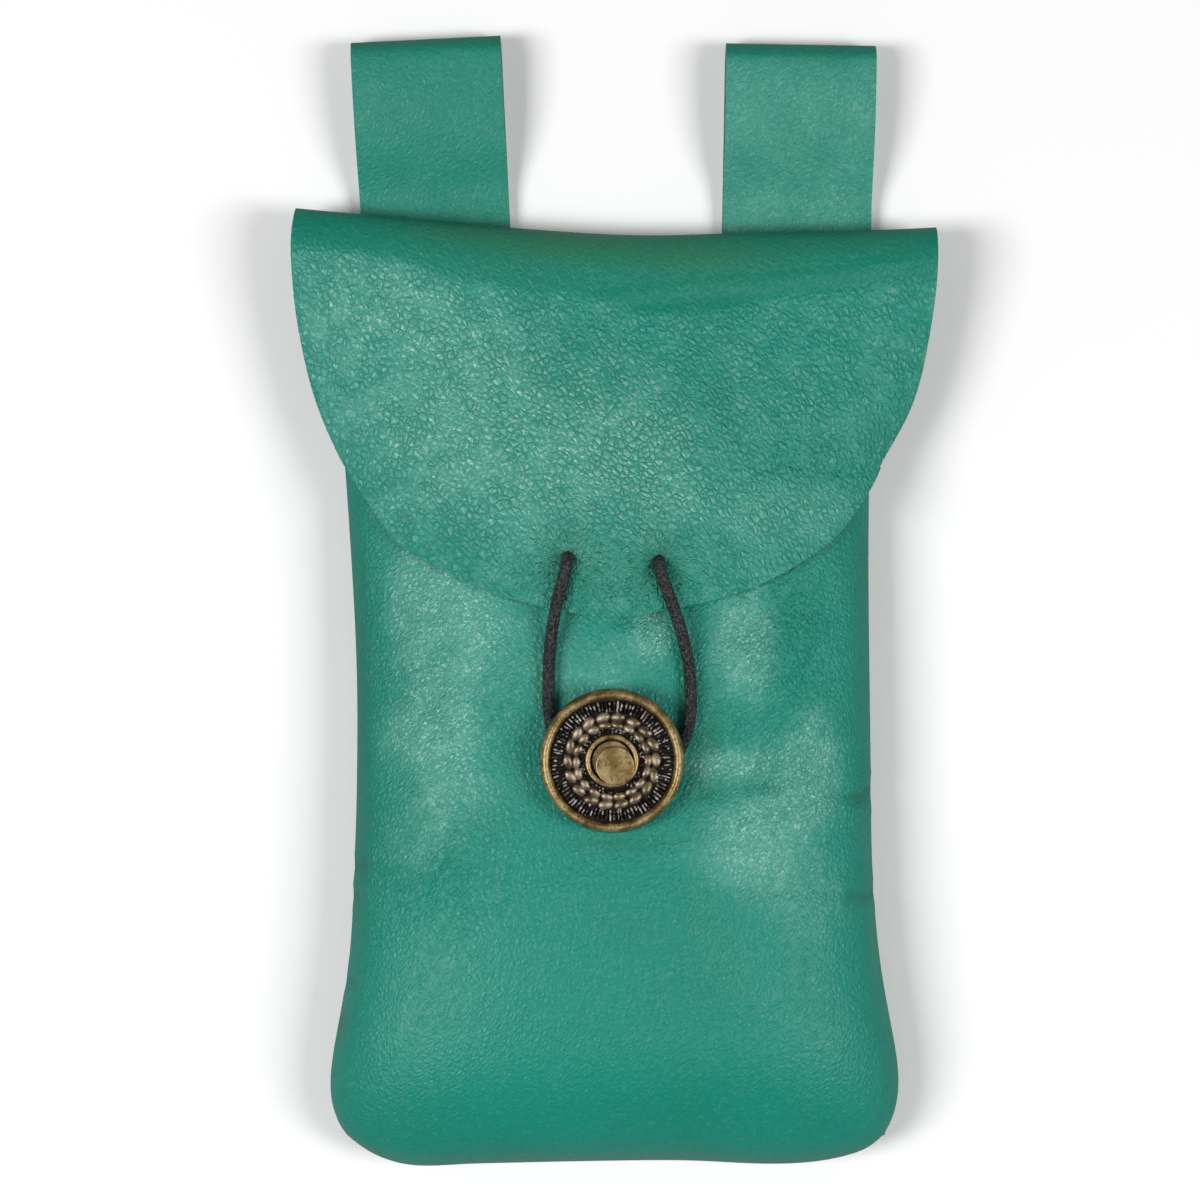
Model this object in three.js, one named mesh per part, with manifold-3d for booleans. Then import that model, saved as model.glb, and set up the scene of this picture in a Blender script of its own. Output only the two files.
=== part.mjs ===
import * as THREE from 'three';
import { mergeVertices } from 'three/addons/utils/BufferGeometryUtils.js';
import Module from 'manifold-3d';

// A flapped leather belt pouch, lying on its back. Millimetres. X runs to the right, Y from the
// bottom seam towards the belt loops, and Z up, out of the pouch's front.
// While it is built, Y is 0 at the lowest place of the top fold.

const wasm = await Module();
wasm.setup();

const leather = 1.4;
const clearance = 0.3; // between pieces that touch

// The pocket
const bodyWidth = 102.6; // over the widest place, low on the pocket
const bodyLength = 166.7; // from the top fold to the bottom seam
const bodyDepth = 26;
const mouthDrop = 18; // from the top fold to the mouth's edge
const frontRound = 26; // how far from the bottom seam the front takes to reach its full height
const backRound = 11; // the same for the back, at its sides and bottom

// The flap
const flapWidth = 114.6;
const flapLength = 68.4;
const foldDepth = 12; // front to back over the top fold
const foldRound = 8; // how far the fold's curve reaches down

// The belt loops
const loopWidth = 26.8;
const loopRise = 35; // above the top fold
const loopTail = 24; // the sewn ends, below the top fold
const beltRoom = 6.6;
const legEase = { upper: 17, lower: 7 }; // how gently the upper leg comes down to the sewn end
const liftRun = 22; // how far below the sewn ends the back comes down to the ground

// The elastic cord and its button
const cordDiameter = 2.2;
const holePlay = 0.8; // from the cord to the edge of its hole in the flap
const buttonDiameter = 25;
const buttonDrop = 93.1; // from the top fold to the button's centre
const buttonThickness = 3.4;
const shankDiameter = 4.6;
const shankPlay = 0.9; // the room that the shank leaves above and below the cord
const shankLength = cordDiameter + shankPlay;

const columns = 24; // cells across each leather sheet
const holeSides = 12;
const cordSides = 8;
const loopSteps = [2, 8, 10, 2]; // along the lower leg, the fold, the upper leg and its sewn end

const colours = {
  front: 0x2a8873,
  flap: 0x2f8f78,
  loops: 0x388975,
  elastic: 0x1c1c1e,
  brass: 0x8a6f3e,
};

// The pocket from the top fold down: down is a share of bodyLength, left and right of half the
// bodyWidth, and seam and crown are heights as shares of bodyDepth.
const pocketSections = [
  { down: 0.0, left: 0.995, right: 0.94, seam: 0.0, crown: 0.53 },
  { down: 0.05, left: 0.99, right: 0.93, seam: 0.06, crown: 0.54 },
  { down: 0.108, left: 0.98, right: 0.918, seam: 0.17, crown: 0.57 },
  { down: 0.245, left: 0.948, right: 0.896, seam: 0.28, crown: 0.74 },
  { down: 0.34, left: 0.926, right: 0.891, seam: 0.3, crown: 0.82 },
  { down: 0.445, left: 0.906, right: 0.893, seam: 0.31, crown: 0.88 },
  { down: 0.56, left: 0.902, right: 0.898, seam: 0.31, crown: 0.92 },
  { down: 0.68, left: 0.913, right: 0.903, seam: 0.31, crown: 0.97 },
  { down: 0.778, left: 0.93, right: 0.929, seam: 0.31, crown: 1.0 },
  { down: 0.837, left: 0.963, right: 0.963, seam: 0.31, crown: 1.0 },
  { down: 0.893, left: 0.996, right: 0.996, seam: 0.31, crown: 0.98 },
  { down: 0.92, left: 1.0, right: 0.997, seam: 0.31, crown: 0.96 },
  { down: 0.945, left: 0.982, right: 0.98, seam: 0.31, crown: 0.94 },
  { down: 0.966, left: 0.938, right: 0.944, seam: 0.31, crown: 0.92 },
];

// The bottom seam between its two rounded corners: across is a share of the corner's half
// width, and sag, as a share of bodyLength, is how far it lies below the last section.
const bottomSeam = [
  { across: -1, sag: 0 },
  { across: -0.915, sag: 0.0185 },
  { across: -0.78, sag: 0.033 },
  { across: -0.52, sag: 0.0315 },
  { across: -0.05, sag: 0.0285 },
  { across: 0.28, sag: 0.028 },
  { across: 0.55, sag: 0.032 },
  { across: 0.72, sag: 0.0305 },
  { across: 0.87, sag: 0.0225 },
  { across: 0.945, sag: 0.014 },
  { across: 1, sag: 0 },
];

// The top fold's line: rise above its lowest place, as a share of flapWidth.
const foldLine = [
  { across: -1, rise: 0.0421 },
  { across: -0.78, rise: 0.0325 },
  { across: -0.33, rise: 0.0125 },
  { across: 0.1, rise: 0 },
  { across: 0.34, rise: 0.0035 },
  { across: 0.82, rise: 0.0085 },
  { across: 1, rise: 0.0122 },
];

// The flap's side edges: down is a share of each side's length, left and right of half the
// flapWidth.
const flapSides = [
  { down: 0, left: 0.99, right: 0.999 },
  { down: 0.14, left: 0.9995, right: 0.997 },
  { down: 0.27, left: 0.9965, right: 0.991 },
  { down: 0.42, left: 0.986, right: 0.974 },
  { down: 0.6, left: 0.961, right: 0.946 },
  { down: 0.73, left: 0.936, right: 0.911 },
  { down: 0.855, left: 0.9, right: 0.855 },
  { down: 1, left: 0.848, right: 0.798 },
];

// The flap's lower edge between the ends of its sides: across is a share of the half width
// there, and down of flapLength.
const flapEdge = [
  { across: -1, down: 0.593 },
  { across: -0.908, down: 0.692 },
  { across: -0.797, down: 0.8 },
  { across: -0.713, down: 0.849 },
  { across: -0.593, down: 0.888 },
  { across: -0.438, down: 0.938 },
  { across: -0.304, down: 0.965 },
  { across: -0.1, down: 0.995 },
  { across: 0.03, down: 1 },
  { across: 0.193, down: 0.979 },
  { across: 0.382, down: 0.955 },
  { across: 0.571, down: 0.911 },
  { across: 0.728, down: 0.853 },
  { across: 0.856, down: 0.79 },
  { across: 0.925, down: 0.735 },
  { across: 1, down: 0.657 },
];

// Hollows and folds of the pocket's front: across from the middle, long and wide are shares of
// bodyWidth, down of bodyLength, turn is in degrees, and deep is a share of bodyDepth.
const frontDents = [
  { across: 0, down: 0.36, turn: 0, long: 0.16, wide: 0.09, deep: 0.05 },
  { across: 0, down: 0.56, turn: 0, long: 0.17, wide: 0.15, deep: 0.04 },
  { across: 0.28, down: 0.594, turn: -6, long: 0.15, wide: 0.045, deep: 0.03 },
  { across: 0.29, down: 0.7, turn: 8, long: 0.1, wide: 0.045, deep: 0.025 },
  { across: -0.28, down: 0.49, turn: 30, long: 0.08, wide: 0.045, deep: 0.02 },
  { across: -0.4, down: 0.7, turn: 25, long: 0.1, wide: 0.045, deep: 0.025 },
  { across: 0.05, down: 0.83, turn: 4, long: 0.3, wide: 0.07, deep: 0.015 },
];

// The cord's two holes in the flap, as shares of flapWidth and flapLength.
const cordHoles = [
  { across: -0.0712, down: 0.835 },
  { across: 0.0672, down: 0.848 },
];

// How far the flap stands off the pocket over the hidden stretch of the cord, and how far it
// is drawn in at each hole.
const tipLift = { down: 0.83, long: 0.14, wide: 0.13 };
const holeDimple = { reach: 0.035, deep: 0.5 };

// The cord's route, hand-chosen. The first list is the stretch in sight, from the left hole
// round the shank to the right hole, and the second is the stretch under the flap.
const cordInSight = [
  [-8.16, -57.1, 22.4],
  [-8.16, -57.15, 23.9],
  [-8.25, -57.7, 25.4],
  [-8.5, -59.3, 26.35],
  [-9.2, -61.9, 26.35],
  [-10.1, -65.4, 26.05],
  [-10.8, -69.4, 25.1],
  [-11.3, -73.6, 24.3],
  [-11.55, -79.6, 24.2],
  [-11.4, -85.2, 24.3],
  [-9.6, -91.4, 24.5],
  [-5.2, -96.0, 24.65],
  [-0.53, -97.4, 24.65],
  [4.8, -96.4, 24.65],
  [10.0, -93.0, 24.5],
  [12.5, -87.4, 24.3],
  [12.85, -80.6, 24.2],
  [12.5, -74.6, 24.3],
  [11.6, -69.6, 25.0],
  [10.1, -64.8, 26.05],
  [8.6, -61.6, 26.4],
  [8.0, -60.0, 26.3],
  [7.75, -58.6, 25.4],
  [7.7, -58.05, 23.9],
  [7.7, -58.0, 22.4],
];
const cordUnderFlap = [
  [7.7, -58.0, 23.2],
  [7.45, -58.0, 22.3],
  [5.6, -57.9, 21.95],
  [0, -57.6, 21.9],
  [-6.0, -57.2, 21.95],
  [-7.95, -57.1, 22.3],
  [-8.16, -57.1, 23.2],
];

// A smooth curve through one column of a table.
function columnCurve(rows, along, value) {
  const places = rows.map((row) => row[along]);
  const values = rows.map((row) => row[value]);
  const fit = new THREE.CubicInterpolant(places, values, 1);
  return (share) => fit.evaluate(THREE.MathUtils.clamp(share, places[0], places.at(-1)))[0];
}

function sidedCurve(rows) {
  const left = columnCurve(rows, 'down', 'left');
  const right = columnCurve(rows, 'down', 'right');
  return (across, share) => (across < 0 ? left(share) : right(share));
}

const pocketHalf = sidedCurve(pocketSections);
const seamShare = columnCurve(pocketSections, 'down', 'seam');
const crownShare = columnCurve(pocketSections, 'down', 'crown');
const bottomSag = columnCurve(bottomSeam, 'across', 'sag');
const foldRise = columnCurve(foldLine, 'across', 'rise');
const flapHalf = sidedCurve(flapSides);
const edgeDown = columnCurve(flapEdge, 'across', 'down');

// A quarter ellipse: 0 at an edge, 1 once the distance from it reaches the radius.
function roundUp(distance, radius) {
  const left = 1 - THREE.MathUtils.clamp(distance / radius, 0, 1);
  return Math.sqrt(1 - left * left);
}

// The height across the stuffed pocket, 1 in the middle and 0 at the side seams. The powers set
// how flat its middle and how round its sides are.
const domePowers = { middle: 2.6, side: 2.2 };

function dome(across) {
  const share = Math.min(1, Math.abs(across));
  return (1 - share ** domePowers.middle) ** (1 / domePowers.side);
}

function bell(x, y, dent) {
  const turn = THREE.MathUtils.degToRad(dent.turn);
  const along = (x - dent.x) * Math.cos(turn) + (y - dent.y) * Math.sin(turn);
  const over = (y - dent.y) * Math.cos(turn) - (x - dent.x) * Math.sin(turn);
  return Math.exp(-((along / dent.long) ** 2) - (over / dent.wide) ** 2);
}

const dentSizes = frontDents.map((dent) => ({
  x: dent.across * bodyWidth,
  y: -dent.down * bodyLength,
  turn: dent.turn,
  long: dent.long * bodyWidth,
  wide: dent.wide * bodyWidth,
  deep: dent.deep * bodyDepth,
}));

function frontDent(x, y) {
  return dentSizes.reduce((sum, dent) => sum + dent.deep * bell(x, y, dent), 0);
}

// The back lies on the ground, and is lifted at the top by the two sewn legs of each loop.
const tailStack = 2 * (leather + clearance);

function backLift(y) {
  return tailStack * THREE.MathUtils.smoothstep(y, -loopTail - liftRun, -loopTail);
}

function seamHeight(y) {
  return backLift(y) + bodyDepth * seamShare(-y / bodyLength);
}

function crownHeight(y) {
  return bodyDepth * crownShare(-y / bodyLength);
}

function pocketX(across, y) {
  return (across * pocketHalf(across, -y / bodyLength) * bodyWidth) / 2;
}

// The height of the pocket's front at a share of its half width. Depth is how far inside the
// outer face the point lies, and distance how far from the bottom seam.
const swellPower = 0.9;

function frontHeight(across, x, y, distance, depth) {
  const seam = seamHeight(y) + clearance / 2;
  const rise = crownHeight(y) - seam - depth;
  const swell = dome(across) * roundUp(distance, frontRound - depth) ** swellPower;
  return seam + (rise - frontDent(x, y)) * swell;
}

const holeSizes = cordHoles.map((hole) => ({
  x: hole.across * flapWidth,
  y: -hole.down * flapLength,
  turn: 0,
  long: holeDimple.reach * flapWidth,
  wide: holeDimple.reach * flapWidth,
  deep: holeDimple.deep,
}));

const liftBell = {
  x: (holeSizes[0].x + holeSizes[1].x) / 2,
  y: -tipLift.down * flapLength,
  turn: 0,
  long: tipLift.long * flapWidth,
  wide: tipLift.wide * flapLength,
};

function flapStandoff(x, y) {
  const dimples = holeSizes.reduce((sum, hole) => sum + hole.deep * bell(x, y, hole), 0);
  return (cordDiameter + 2 * clearance) * bell(x, y, liftBell) - dimples;
}

const foldMiddle = tailStack + foldDepth / 2;

// How much wider than the pocket the flap's drape is: at the fold as a share of the flap's half
// width, and at its lower edge in millimetres.
const drapeEase = { atFold: 0.08, atEdge: 2.6 };

// Where the drape starts and is complete, below the top fold.
const drapeFrom = foldRound / 2;
const drapeTo = 1.7 * mouthDrop;

// The half width that the flap's section would have if it reached the seams' height.
function drapeHalf(across, y) {
  const down = THREE.MathUtils.clamp(-y / (edgeDown(-1) * flapLength), 0, 1);
  const pocket = Math.abs(pocketX(Math.sign(across) || 1, y));
  const foldHalf = (flapWidth / 2) * (1 + drapeEase.atFold);
  const extra = foldHalf - Math.abs(pocketX(Math.sign(across) || 1, 0)) - drapeEase.atEdge;
  return pocket + drapeEase.atEdge + extra * (1 - down * down);
}

// The flap's underside (out is 0) and outer face (out is the leather's thickness).
function flapHeight(x, y, out) {
  const seam = seamHeight(y);
  const toMouth = THREE.MathUtils.smoothstep(-y, 0, mouthDrop);
  const overFold = tailStack + foldDepth - leather;
  const top = THREE.MathUtils.lerp(overFold, crownHeight(y) + clearance, toMouth) + out;
  const weight = THREE.MathUtils.smoothstep(-y, drapeFrom, drapeTo);
  const share = dome(x / (drapeHalf(x, y) + out));
  return seam + (top - seam) * (1 - weight * (1 - share)) + flapStandoff(x, y);
}

// Stations across a sheet from -1 to 1, closer together at its edges.
const edgeFocus = 1.3;

function acrossAt(share) {
  return Math.sin(share * edgeFocus) / Math.sin(edgeFocus);
}

// A leather sheet: a flat box of cells whose upper side becomes its outer face, its lower side
// the inner face and its four edges the cut edges. rowAt gives each row's place.
function leatherSheet(rows, pointAt) {
  const geometry = new THREE.BoxGeometry(2, 1, 1, columns, rows, 1);
  const position = geometry.attributes.position;
  const point = new THREE.Vector3();
  for (let i = 0; i < position.count; i += 1) {
    const row = Math.round((position.getY(i) + 0.5) * rows);
    pointAt(point, acrossAt(position.getX(i)), row, position.getZ(i) > 0);
    position.setXYZ(i, point.x, point.y, point.z);
  }
  return geometry;
}

// Shares from 0 to 1, closer together at the far end.
function closingShares(count, power) {
  return Array.from({ length: count + 1 }, (_, i) => 1 - (1 - i / count) ** power);
}

const cornerDown = pocketSections.at(-1).down * bodyLength;
const rowPowers = { pocket: 1.35, neck: 1.7, flap: 1.5 }; // how much closer the last rows are
const pocketRows = 20;
const pocketShares = closingShares(pocketRows, rowPowers.pocket);
const sagFrom = 0.55; // the share of the pocket from which the rows take on the bottom's curve

// A point of the pocket's outline plane, from the mouth (0) to the bottom seam (1). Inset moves
// it in from the seams.
function pocketPlace(point, across, share, inset) {
  const row = -THREE.MathUtils.lerp(mouthDrop, cornerDown, share);
  const settle = THREE.MathUtils.smoothstep(share, sagFrom, 1);
  const sag = bottomSag(across) * bodyLength;
  const length = cornerDown + sag - mouthDrop;
  point.x = pocketX(across, row) - across * inset;
  point.y = row - sag * settle;
  point.y = -mouthDrop + (point.y + mouthDrop) * (1 - inset / length);
  return cornerDown + sag - inset + point.y;
}

function makeFrontPanel() {
  const geometry = leatherSheet(pocketRows, (point, across, row, outer) => {
    const share = pocketShares[pocketRows - row];
    const depth = outer ? 0 : leather;
    const distance = pocketPlace(point, across, share, depth);
    point.z = frontHeight(across, point.x, point.y, distance, depth);
  });
  return asMesh(asSolid(geometry), 'front_panel', leatherMaterial(colours.front));
}

const neckRows = 6;
const flapRows = 16;
const backRows = pocketRows + neckRows;
const neckShares = closingShares(neckRows, rowPowers.neck);
const flapShares = closingShares(flapRows, rowPowers.flap).map((share) => 1 - share).reverse();

// The back's point in the row that is that many rows up from the bottom seam.
function backPoint(point, across, row, outer) {
  const thickness = outer ? 0 : leather;
  const inNeck = row > pocketRows;
  const start = -mouthDrop;
  let distance;
  if (inNeck) {
    const rise = foldRise(across) * flapWidth - thickness;
    const share = neckShares[row - pocketRows];
    point.y = THREE.MathUtils.lerp(start, rise, share);
    distance = bodyLength;
  } else {
    distance = pocketPlace(point, across, pocketShares[pocketRows - row], thickness);
  }
  const spread = THREE.MathUtils.smoothstep(point.y, start, 0);
  const foldHalf = (flapHalf(across, 0) * flapWidth) / 2;
  const dish = seamHeight(point.y) - backLift(point.y) - clearance / 2;
  const inset = thickness * THREE.MathUtils.smoothstep(dish, 0, leather * 2);
  const pocket = pocketX(across, point.y) - across * inset;
  if (inNeck) point.x = THREE.MathUtils.lerp(pocket, across * foldHalf, spread);
  const edge = (1 - Math.abs(across)) * Math.abs(pocketX(Math.sign(across) || 1, point.y));
  const flat = roundUp(edge, backRound - thickness) * roundUp(distance, backRound - thickness);
  const floor = backLift(point.y) + thickness;
  const bottom = floor + (dish - thickness) * (1 - flat);
  const reach = foldRise(across) * flapWidth - thickness - point.y;
  const turn = roundUp(reach, foldRound - thickness);
  point.z = foldMiddle + (bottom - foldMiddle) * turn;
}

// The flap's point in the row that is that many rows down from the top fold.
function flapPoint(point, across, row, outer) {
  const share = flapShares[row];
  const rise = foldRise(across) * flapWidth - (outer ? 0 : leather);
  const edge = -edgeDown(across) * flapLength;
  point.y = THREE.MathUtils.lerp(rise, edge, share);
  point.x = (across * flapHalf(across, share) * flapWidth) / 2;
  const out = outer ? leather : 0;
  const turn = roundUp(rise - point.y, outer ? foldRound : foldRound - leather);
  point.z = foldMiddle + (flapHeight(point.x, point.y, out) - foldMiddle) * turn;
}

function makeBackAndFlap() {
  const rows = backRows + flapRows;
  const geometry = leatherSheet(rows, (point, across, row, outer) => {
    if (row >= flapRows) backPoint(point, across, rows - row, outer);
    else flapPoint(point, across, flapRows - row, outer);
  });
  const punches = holeSizes.map((hole) => {
    const punch = new THREE.CylinderGeometry(
      cordDiameter / 2 + holePlay,
      cordDiameter / 2 + holePlay,
      bodyDepth,
      holeSides,
    );
    punch.rotateX(Math.PI / 2);
    punch.translate(hole.x, hole.y, crownHeight(hole.y) + bodyDepth / 2 - leather);
    return asSolid(punch);
  });
  const punched = punches.reduce((sheet, punch) => sheet.subtract(punch), asSolid(geometry));
  return asMesh(punched, 'back_and_flap', leatherMaterial(colours.flap));
}

// The side view of a strip folded into a loop: its middle line from the end of the lower leg,
// round the top and back to the end of the upper leg.
function loopLine() {
  const low = leather / 2;
  const sewn = low + leather + clearance;
  const bend = (beltRoom + leather) / 2;
  const top = loopRise - leather / 2;
  const rise = foldRise(-1) * flapWidth;
  return [
    new THREE.LineCurve(new THREE.Vector2(-loopTail, low), new THREE.Vector2(top - bend, low)),
    new THREE.EllipseCurve(top - bend, low + bend, bend, bend, -Math.PI / 2, Math.PI / 2),
    new THREE.CubicBezierCurve(
      new THREE.Vector2(top - bend, low + 2 * bend),
      new THREE.Vector2(top - bend - legEase.upper, low + 2 * bend),
      new THREE.Vector2(rise + legEase.lower, sewn),
      new THREE.Vector2(rise, sewn),
    ),
    new THREE.LineCurve(new THREE.Vector2(rise, sewn), new THREE.Vector2(-loopTail, sewn)),
  ];
}

function makeLoop(name) {
  const outer = [];
  const inner = [];
  loopLine().forEach((curve, n) => {
    for (let i = n ? 1 : 0; i <= loopSteps[n]; i += 1) {
      const share = i / loopSteps[n];
      const point = curve.getPoint(share);
      const tangent = curve.getTangent(share);
      const side = new THREE.Vector2(tangent.y, -tangent.x).multiplyScalar(leather / 2);
      outer.push(point.clone().add(side));
      inner.unshift(point.clone().sub(side));
    }
  });
  const outline = new THREE.Shape(outer.concat(inner));
  const geometry = new THREE.ExtrudeGeometry(outline, {
    depth: loopWidth,
    bevelEnabled: false,
  });
  geometry.translate(0, 0, -loopWidth / 2);
  // The outline's X becomes Y, its Y becomes Z and the extrusion runs along X.
  geometry.rotateX(Math.PI / 2);
  geometry.rotateZ(Math.PI / 2);
  return asMesh(asSolid(geometry), name, leatherMaterial(colours.loops));
}

function tube(points) {
  const curve = new THREE.CatmullRomCurve3(points.map((p) => new THREE.Vector3(...p)));
  const circle = new THREE.Shape().absarc(0, 0, cordDiameter / 2, 0, 2 * Math.PI);
  const steps = Math.ceil(curve.getLength() / cordDiameter);
  return asSolid(
    new THREE.ExtrudeGeometry(circle, {
      steps,
      curveSegments: cordSides / 2,
      extrudePath: curve,
    }),
  );
}

function makeCord() {
  const material = new THREE.MeshStandardMaterial({ color: colours.elastic, roughness: 0.75 });
  return asMesh(tube(cordInSight).add(tube(cordUnderFlap)), 'closure_cord', material);
}

// The button, across as shares of half its diameter and up as shares of its thickness. The disc
// goes from its back round the rim and down to the recessed floor.
const disc = [
  { across: 0.93, up: 0 },
  { across: 0.985, up: 0.2 },
  { across: 1, up: 0.5 },
  { across: 0.985, up: 0.8 },
  { across: 0.94, up: 1 },
  { across: 0.9, up: 0.97 },
  { across: 0.87, up: 0.68 },
];
const floorLevel = disc.at(-1).up;
const shankFoot = { wider: 1.25, share: 0.25 }; // the foot's width and height on the shank
const ridges = { count: 80, outer: 0.85, inner: 0.68, top: 0.86, valley: 0.74, root: 0.53 };
const leafRings = [
  { count: 20, radius: 0.615, long: 0.098, wide: 0.05, phase: 0, lean: 18 },
  { count: 18, radius: 0.505, long: 0.098, wide: 0.045, phase: 0.5, lean: -14 },
];
const leafShape = { middle: 0.7, high: 0.16 };
const collar = { outer: 0.375, inner: 0.3, top: 0.92, lean: 0.01 };
const boss = { radius: 0.265, x: 0.05, y: -0.078, root: 0.58, top: 1.04, round: 0.06, flat: 0.93 };
const buttonAcross = -0.0047; // the button's place, as a share of flapWidth
const roundSegments = 40;

function lathe(profile, segments) {
  const geometry = new THREE.LatheGeometry(
    profile.map(([radius, height]) => new THREE.Vector2(radius, height)),
    segments,
  );
  geometry.rotateX(Math.PI / 2);
  return geometry;
}

function makeDisc(radius, thick) {
  const shank = shankDiameter / 2;
  const floor = shankLength + floorLevel * thick;
  const collarTop = shankLength + collar.top * thick;
  return asSolid(
    lathe(
      [
        [0, 0],
        [shank * shankFoot.wider, 0],
        [shank, shankLength * shankFoot.share],
        [shank, shankLength],
        ...disc.map((point) => [point.across * radius, shankLength + point.up * thick]),
        [radius * collar.outer, floor],
        [radius * (collar.outer - collar.lean), collarTop],
        [radius * collar.inner, collarTop],
        [radius * (collar.inner - collar.lean), floor],
        [0, floor],
      ],
      roundSegments,
    ),
  );
}

// A ring of radial ridges: a low lathe ring whose upper points go up and down by turns.
function makeRidges(radius, thick) {
  const base = shankLength + ridges.root * thick;
  const top = shankLength + ridges.top * thick;
  const valley = shankLength + ridges.valley * thick;
  const inner = radius * ridges.inner;
  const outer = radius * ridges.outer;
  const ring = lathe(
    [
      [inner, base],
      [outer, base],
      [outer, top],
      [inner, top],
      [inner, base],
    ],
    ridges.count * 2,
  );
  const position = ring.attributes.position;
  for (let i = 0; i < position.count; i += 1) {
    const turn = Math.atan2(position.getY(i), position.getX(i)) / (2 * Math.PI);
    const step = Math.round(turn * ridges.count * 2);
    const isTop = position.getZ(i) > (base + top) / 2;
    if (isTop && Math.abs(step) % 2) position.setZ(i, valley);
  }
  return asSolid(ring);
}

function makeLeaf(radius, thick, ring, n) {
  const turn = ((n + ring.phase) / ring.count) * 2 * Math.PI;
  const leaf = new THREE.OctahedronGeometry(1, 0);
  leaf.scale(ring.long * radius, ring.wide * radius, leafShape.high * thick);
  leaf.rotateZ(THREE.MathUtils.degToRad(90 + ring.lean));
  leaf.translate(ring.radius * radius, 0, shankLength + leafShape.middle * thick);
  leaf.rotateZ(turn);
  return asSolid(leaf);
}

function makeBoss(radius, thick) {
  const wide = boss.radius * radius;
  const base = shankLength + boss.root * thick;
  const top = shankLength + boss.top * thick;
  const solid = lathe(
    [
      [0, base],
      [wide, base],
      [wide, top - thick * boss.round],
      [wide * boss.flat, top],
      [0, top],
    ],
    roundSegments / 2,
  );
  solid.translate(boss.x * radius, boss.y * radius, 0);
  return asSolid(solid);
}

function makeButton() {
  const radius = buttonDiameter / 2;
  const pieces = [makeDisc(radius, buttonThickness), makeRidges(radius, buttonThickness)];
  leafRings.forEach((ring) => {
    for (let n = 0; n < ring.count; n += 1) {
      pieces.push(makeLeaf(radius, buttonThickness, ring, n));
    }
  });
  pieces.push(makeBoss(radius, buttonThickness));
  const brass = new THREE.MeshStandardMaterial({
    color: colours.brass,
    metalness: 1,
    roughness: 0.42,
  });
  const button = asMesh(wasm.Manifold.union(pieces), 'button', brass);
  const x = buttonAcross * flapWidth;
  const y = -buttonDrop;
  const seat = crownHeight(y) - frontDent(x, y) + clearance;
  button.position.set(x, y, seat);
  return button;
}

function asSolid(geometry) {
  const bare = geometry.clone();
  bare.deleteAttribute('normal');
  bare.deleteAttribute('uv');
  const merged = mergeVertices(bare, 1e-4);
  return new wasm.Manifold(
    new wasm.Mesh({
      numProp: 3,
      vertProperties: new Float32Array(merged.attributes.position.array),
      triVerts: new Uint32Array(merged.index.array),
    }),
  );
}

function asMesh(solid, name, material) {
  const made = solid.getMesh();
  const geometry = new THREE.BufferGeometry();
  geometry.setAttribute('position', new THREE.BufferAttribute(made.vertProperties, 3));
  geometry.setIndex(new THREE.BufferAttribute(made.triVerts, 1));
  geometry.computeVertexNormals();
  const mesh = new THREE.Mesh(geometry, material);
  mesh.name = name;
  return mesh;
}

function leatherMaterial(color) {
  return new THREE.MeshStandardMaterial({ color, roughness: 0.5, metalness: 0 });
}

// Each loop's place across the pouch, as a share of flapWidth, its turn in degrees, and how far
// it is moved up, as a share of loopRise.
const loopPlaces = [
  { name: 'belt_loop_left', across: -0.281, turn: 2.8, up: 0.0171 },
  { name: 'belt_loop_right', across: 0.2865, turn: -1, up: -0.0114 },
];

function makeLoops() {
  return loopPlaces.map((place) => {
    const loop = makeLoop(place.name);
    loop.position.set(place.across * flapWidth, place.up * loopRise, 0);
    loop.rotation.z = THREE.MathUtils.degToRad(place.turn);
    return loop;
  });
}

const pouch = new THREE.Group();
pouch.add(makeBackAndFlap(), makeFrontPanel(), ...makeLoops(), makeCord(), makeButton());

// The origin is under the middle of the whole pouch.
const box = new THREE.Box3().setFromObject(pouch);
const middle = box.getCenter(new THREE.Vector3());
pouch.position.set(-middle.x, -middle.y, -box.min.z);

const group = new THREE.Group();
group.add(pouch);

export default group;
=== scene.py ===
import math
import random

import bmesh
import bpy
import numpy as np
from mathutils import Matrix, Vector, geometry, kdtree


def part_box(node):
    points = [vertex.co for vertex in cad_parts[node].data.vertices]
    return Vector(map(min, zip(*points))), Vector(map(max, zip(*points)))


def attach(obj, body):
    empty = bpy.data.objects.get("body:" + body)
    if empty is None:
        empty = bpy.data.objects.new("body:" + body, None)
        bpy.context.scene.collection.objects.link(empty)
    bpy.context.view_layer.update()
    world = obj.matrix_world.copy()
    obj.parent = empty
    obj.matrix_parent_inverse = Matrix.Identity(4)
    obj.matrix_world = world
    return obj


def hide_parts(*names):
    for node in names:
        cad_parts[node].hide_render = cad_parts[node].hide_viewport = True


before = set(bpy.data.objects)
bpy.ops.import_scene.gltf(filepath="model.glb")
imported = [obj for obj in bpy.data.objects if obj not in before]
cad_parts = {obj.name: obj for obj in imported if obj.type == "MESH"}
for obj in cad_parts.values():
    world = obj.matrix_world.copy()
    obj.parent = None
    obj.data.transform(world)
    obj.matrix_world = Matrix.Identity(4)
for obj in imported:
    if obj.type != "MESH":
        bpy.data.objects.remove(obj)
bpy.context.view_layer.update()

mm = 0.001

# The pouch lies on its back: X runs to the right, Y towards the belt loops and Z up.
# The photograph looks straight down on it, and its pixels turn into metres like this.
photo = {"middle": 614.8, "level": 600.0, "pixel": 0.176 * mm}


def seen(across, down):
    return ((across - photo["middle"]) * photo["pixel"], (photo["level"] - down) * photo["pixel"])


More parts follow.
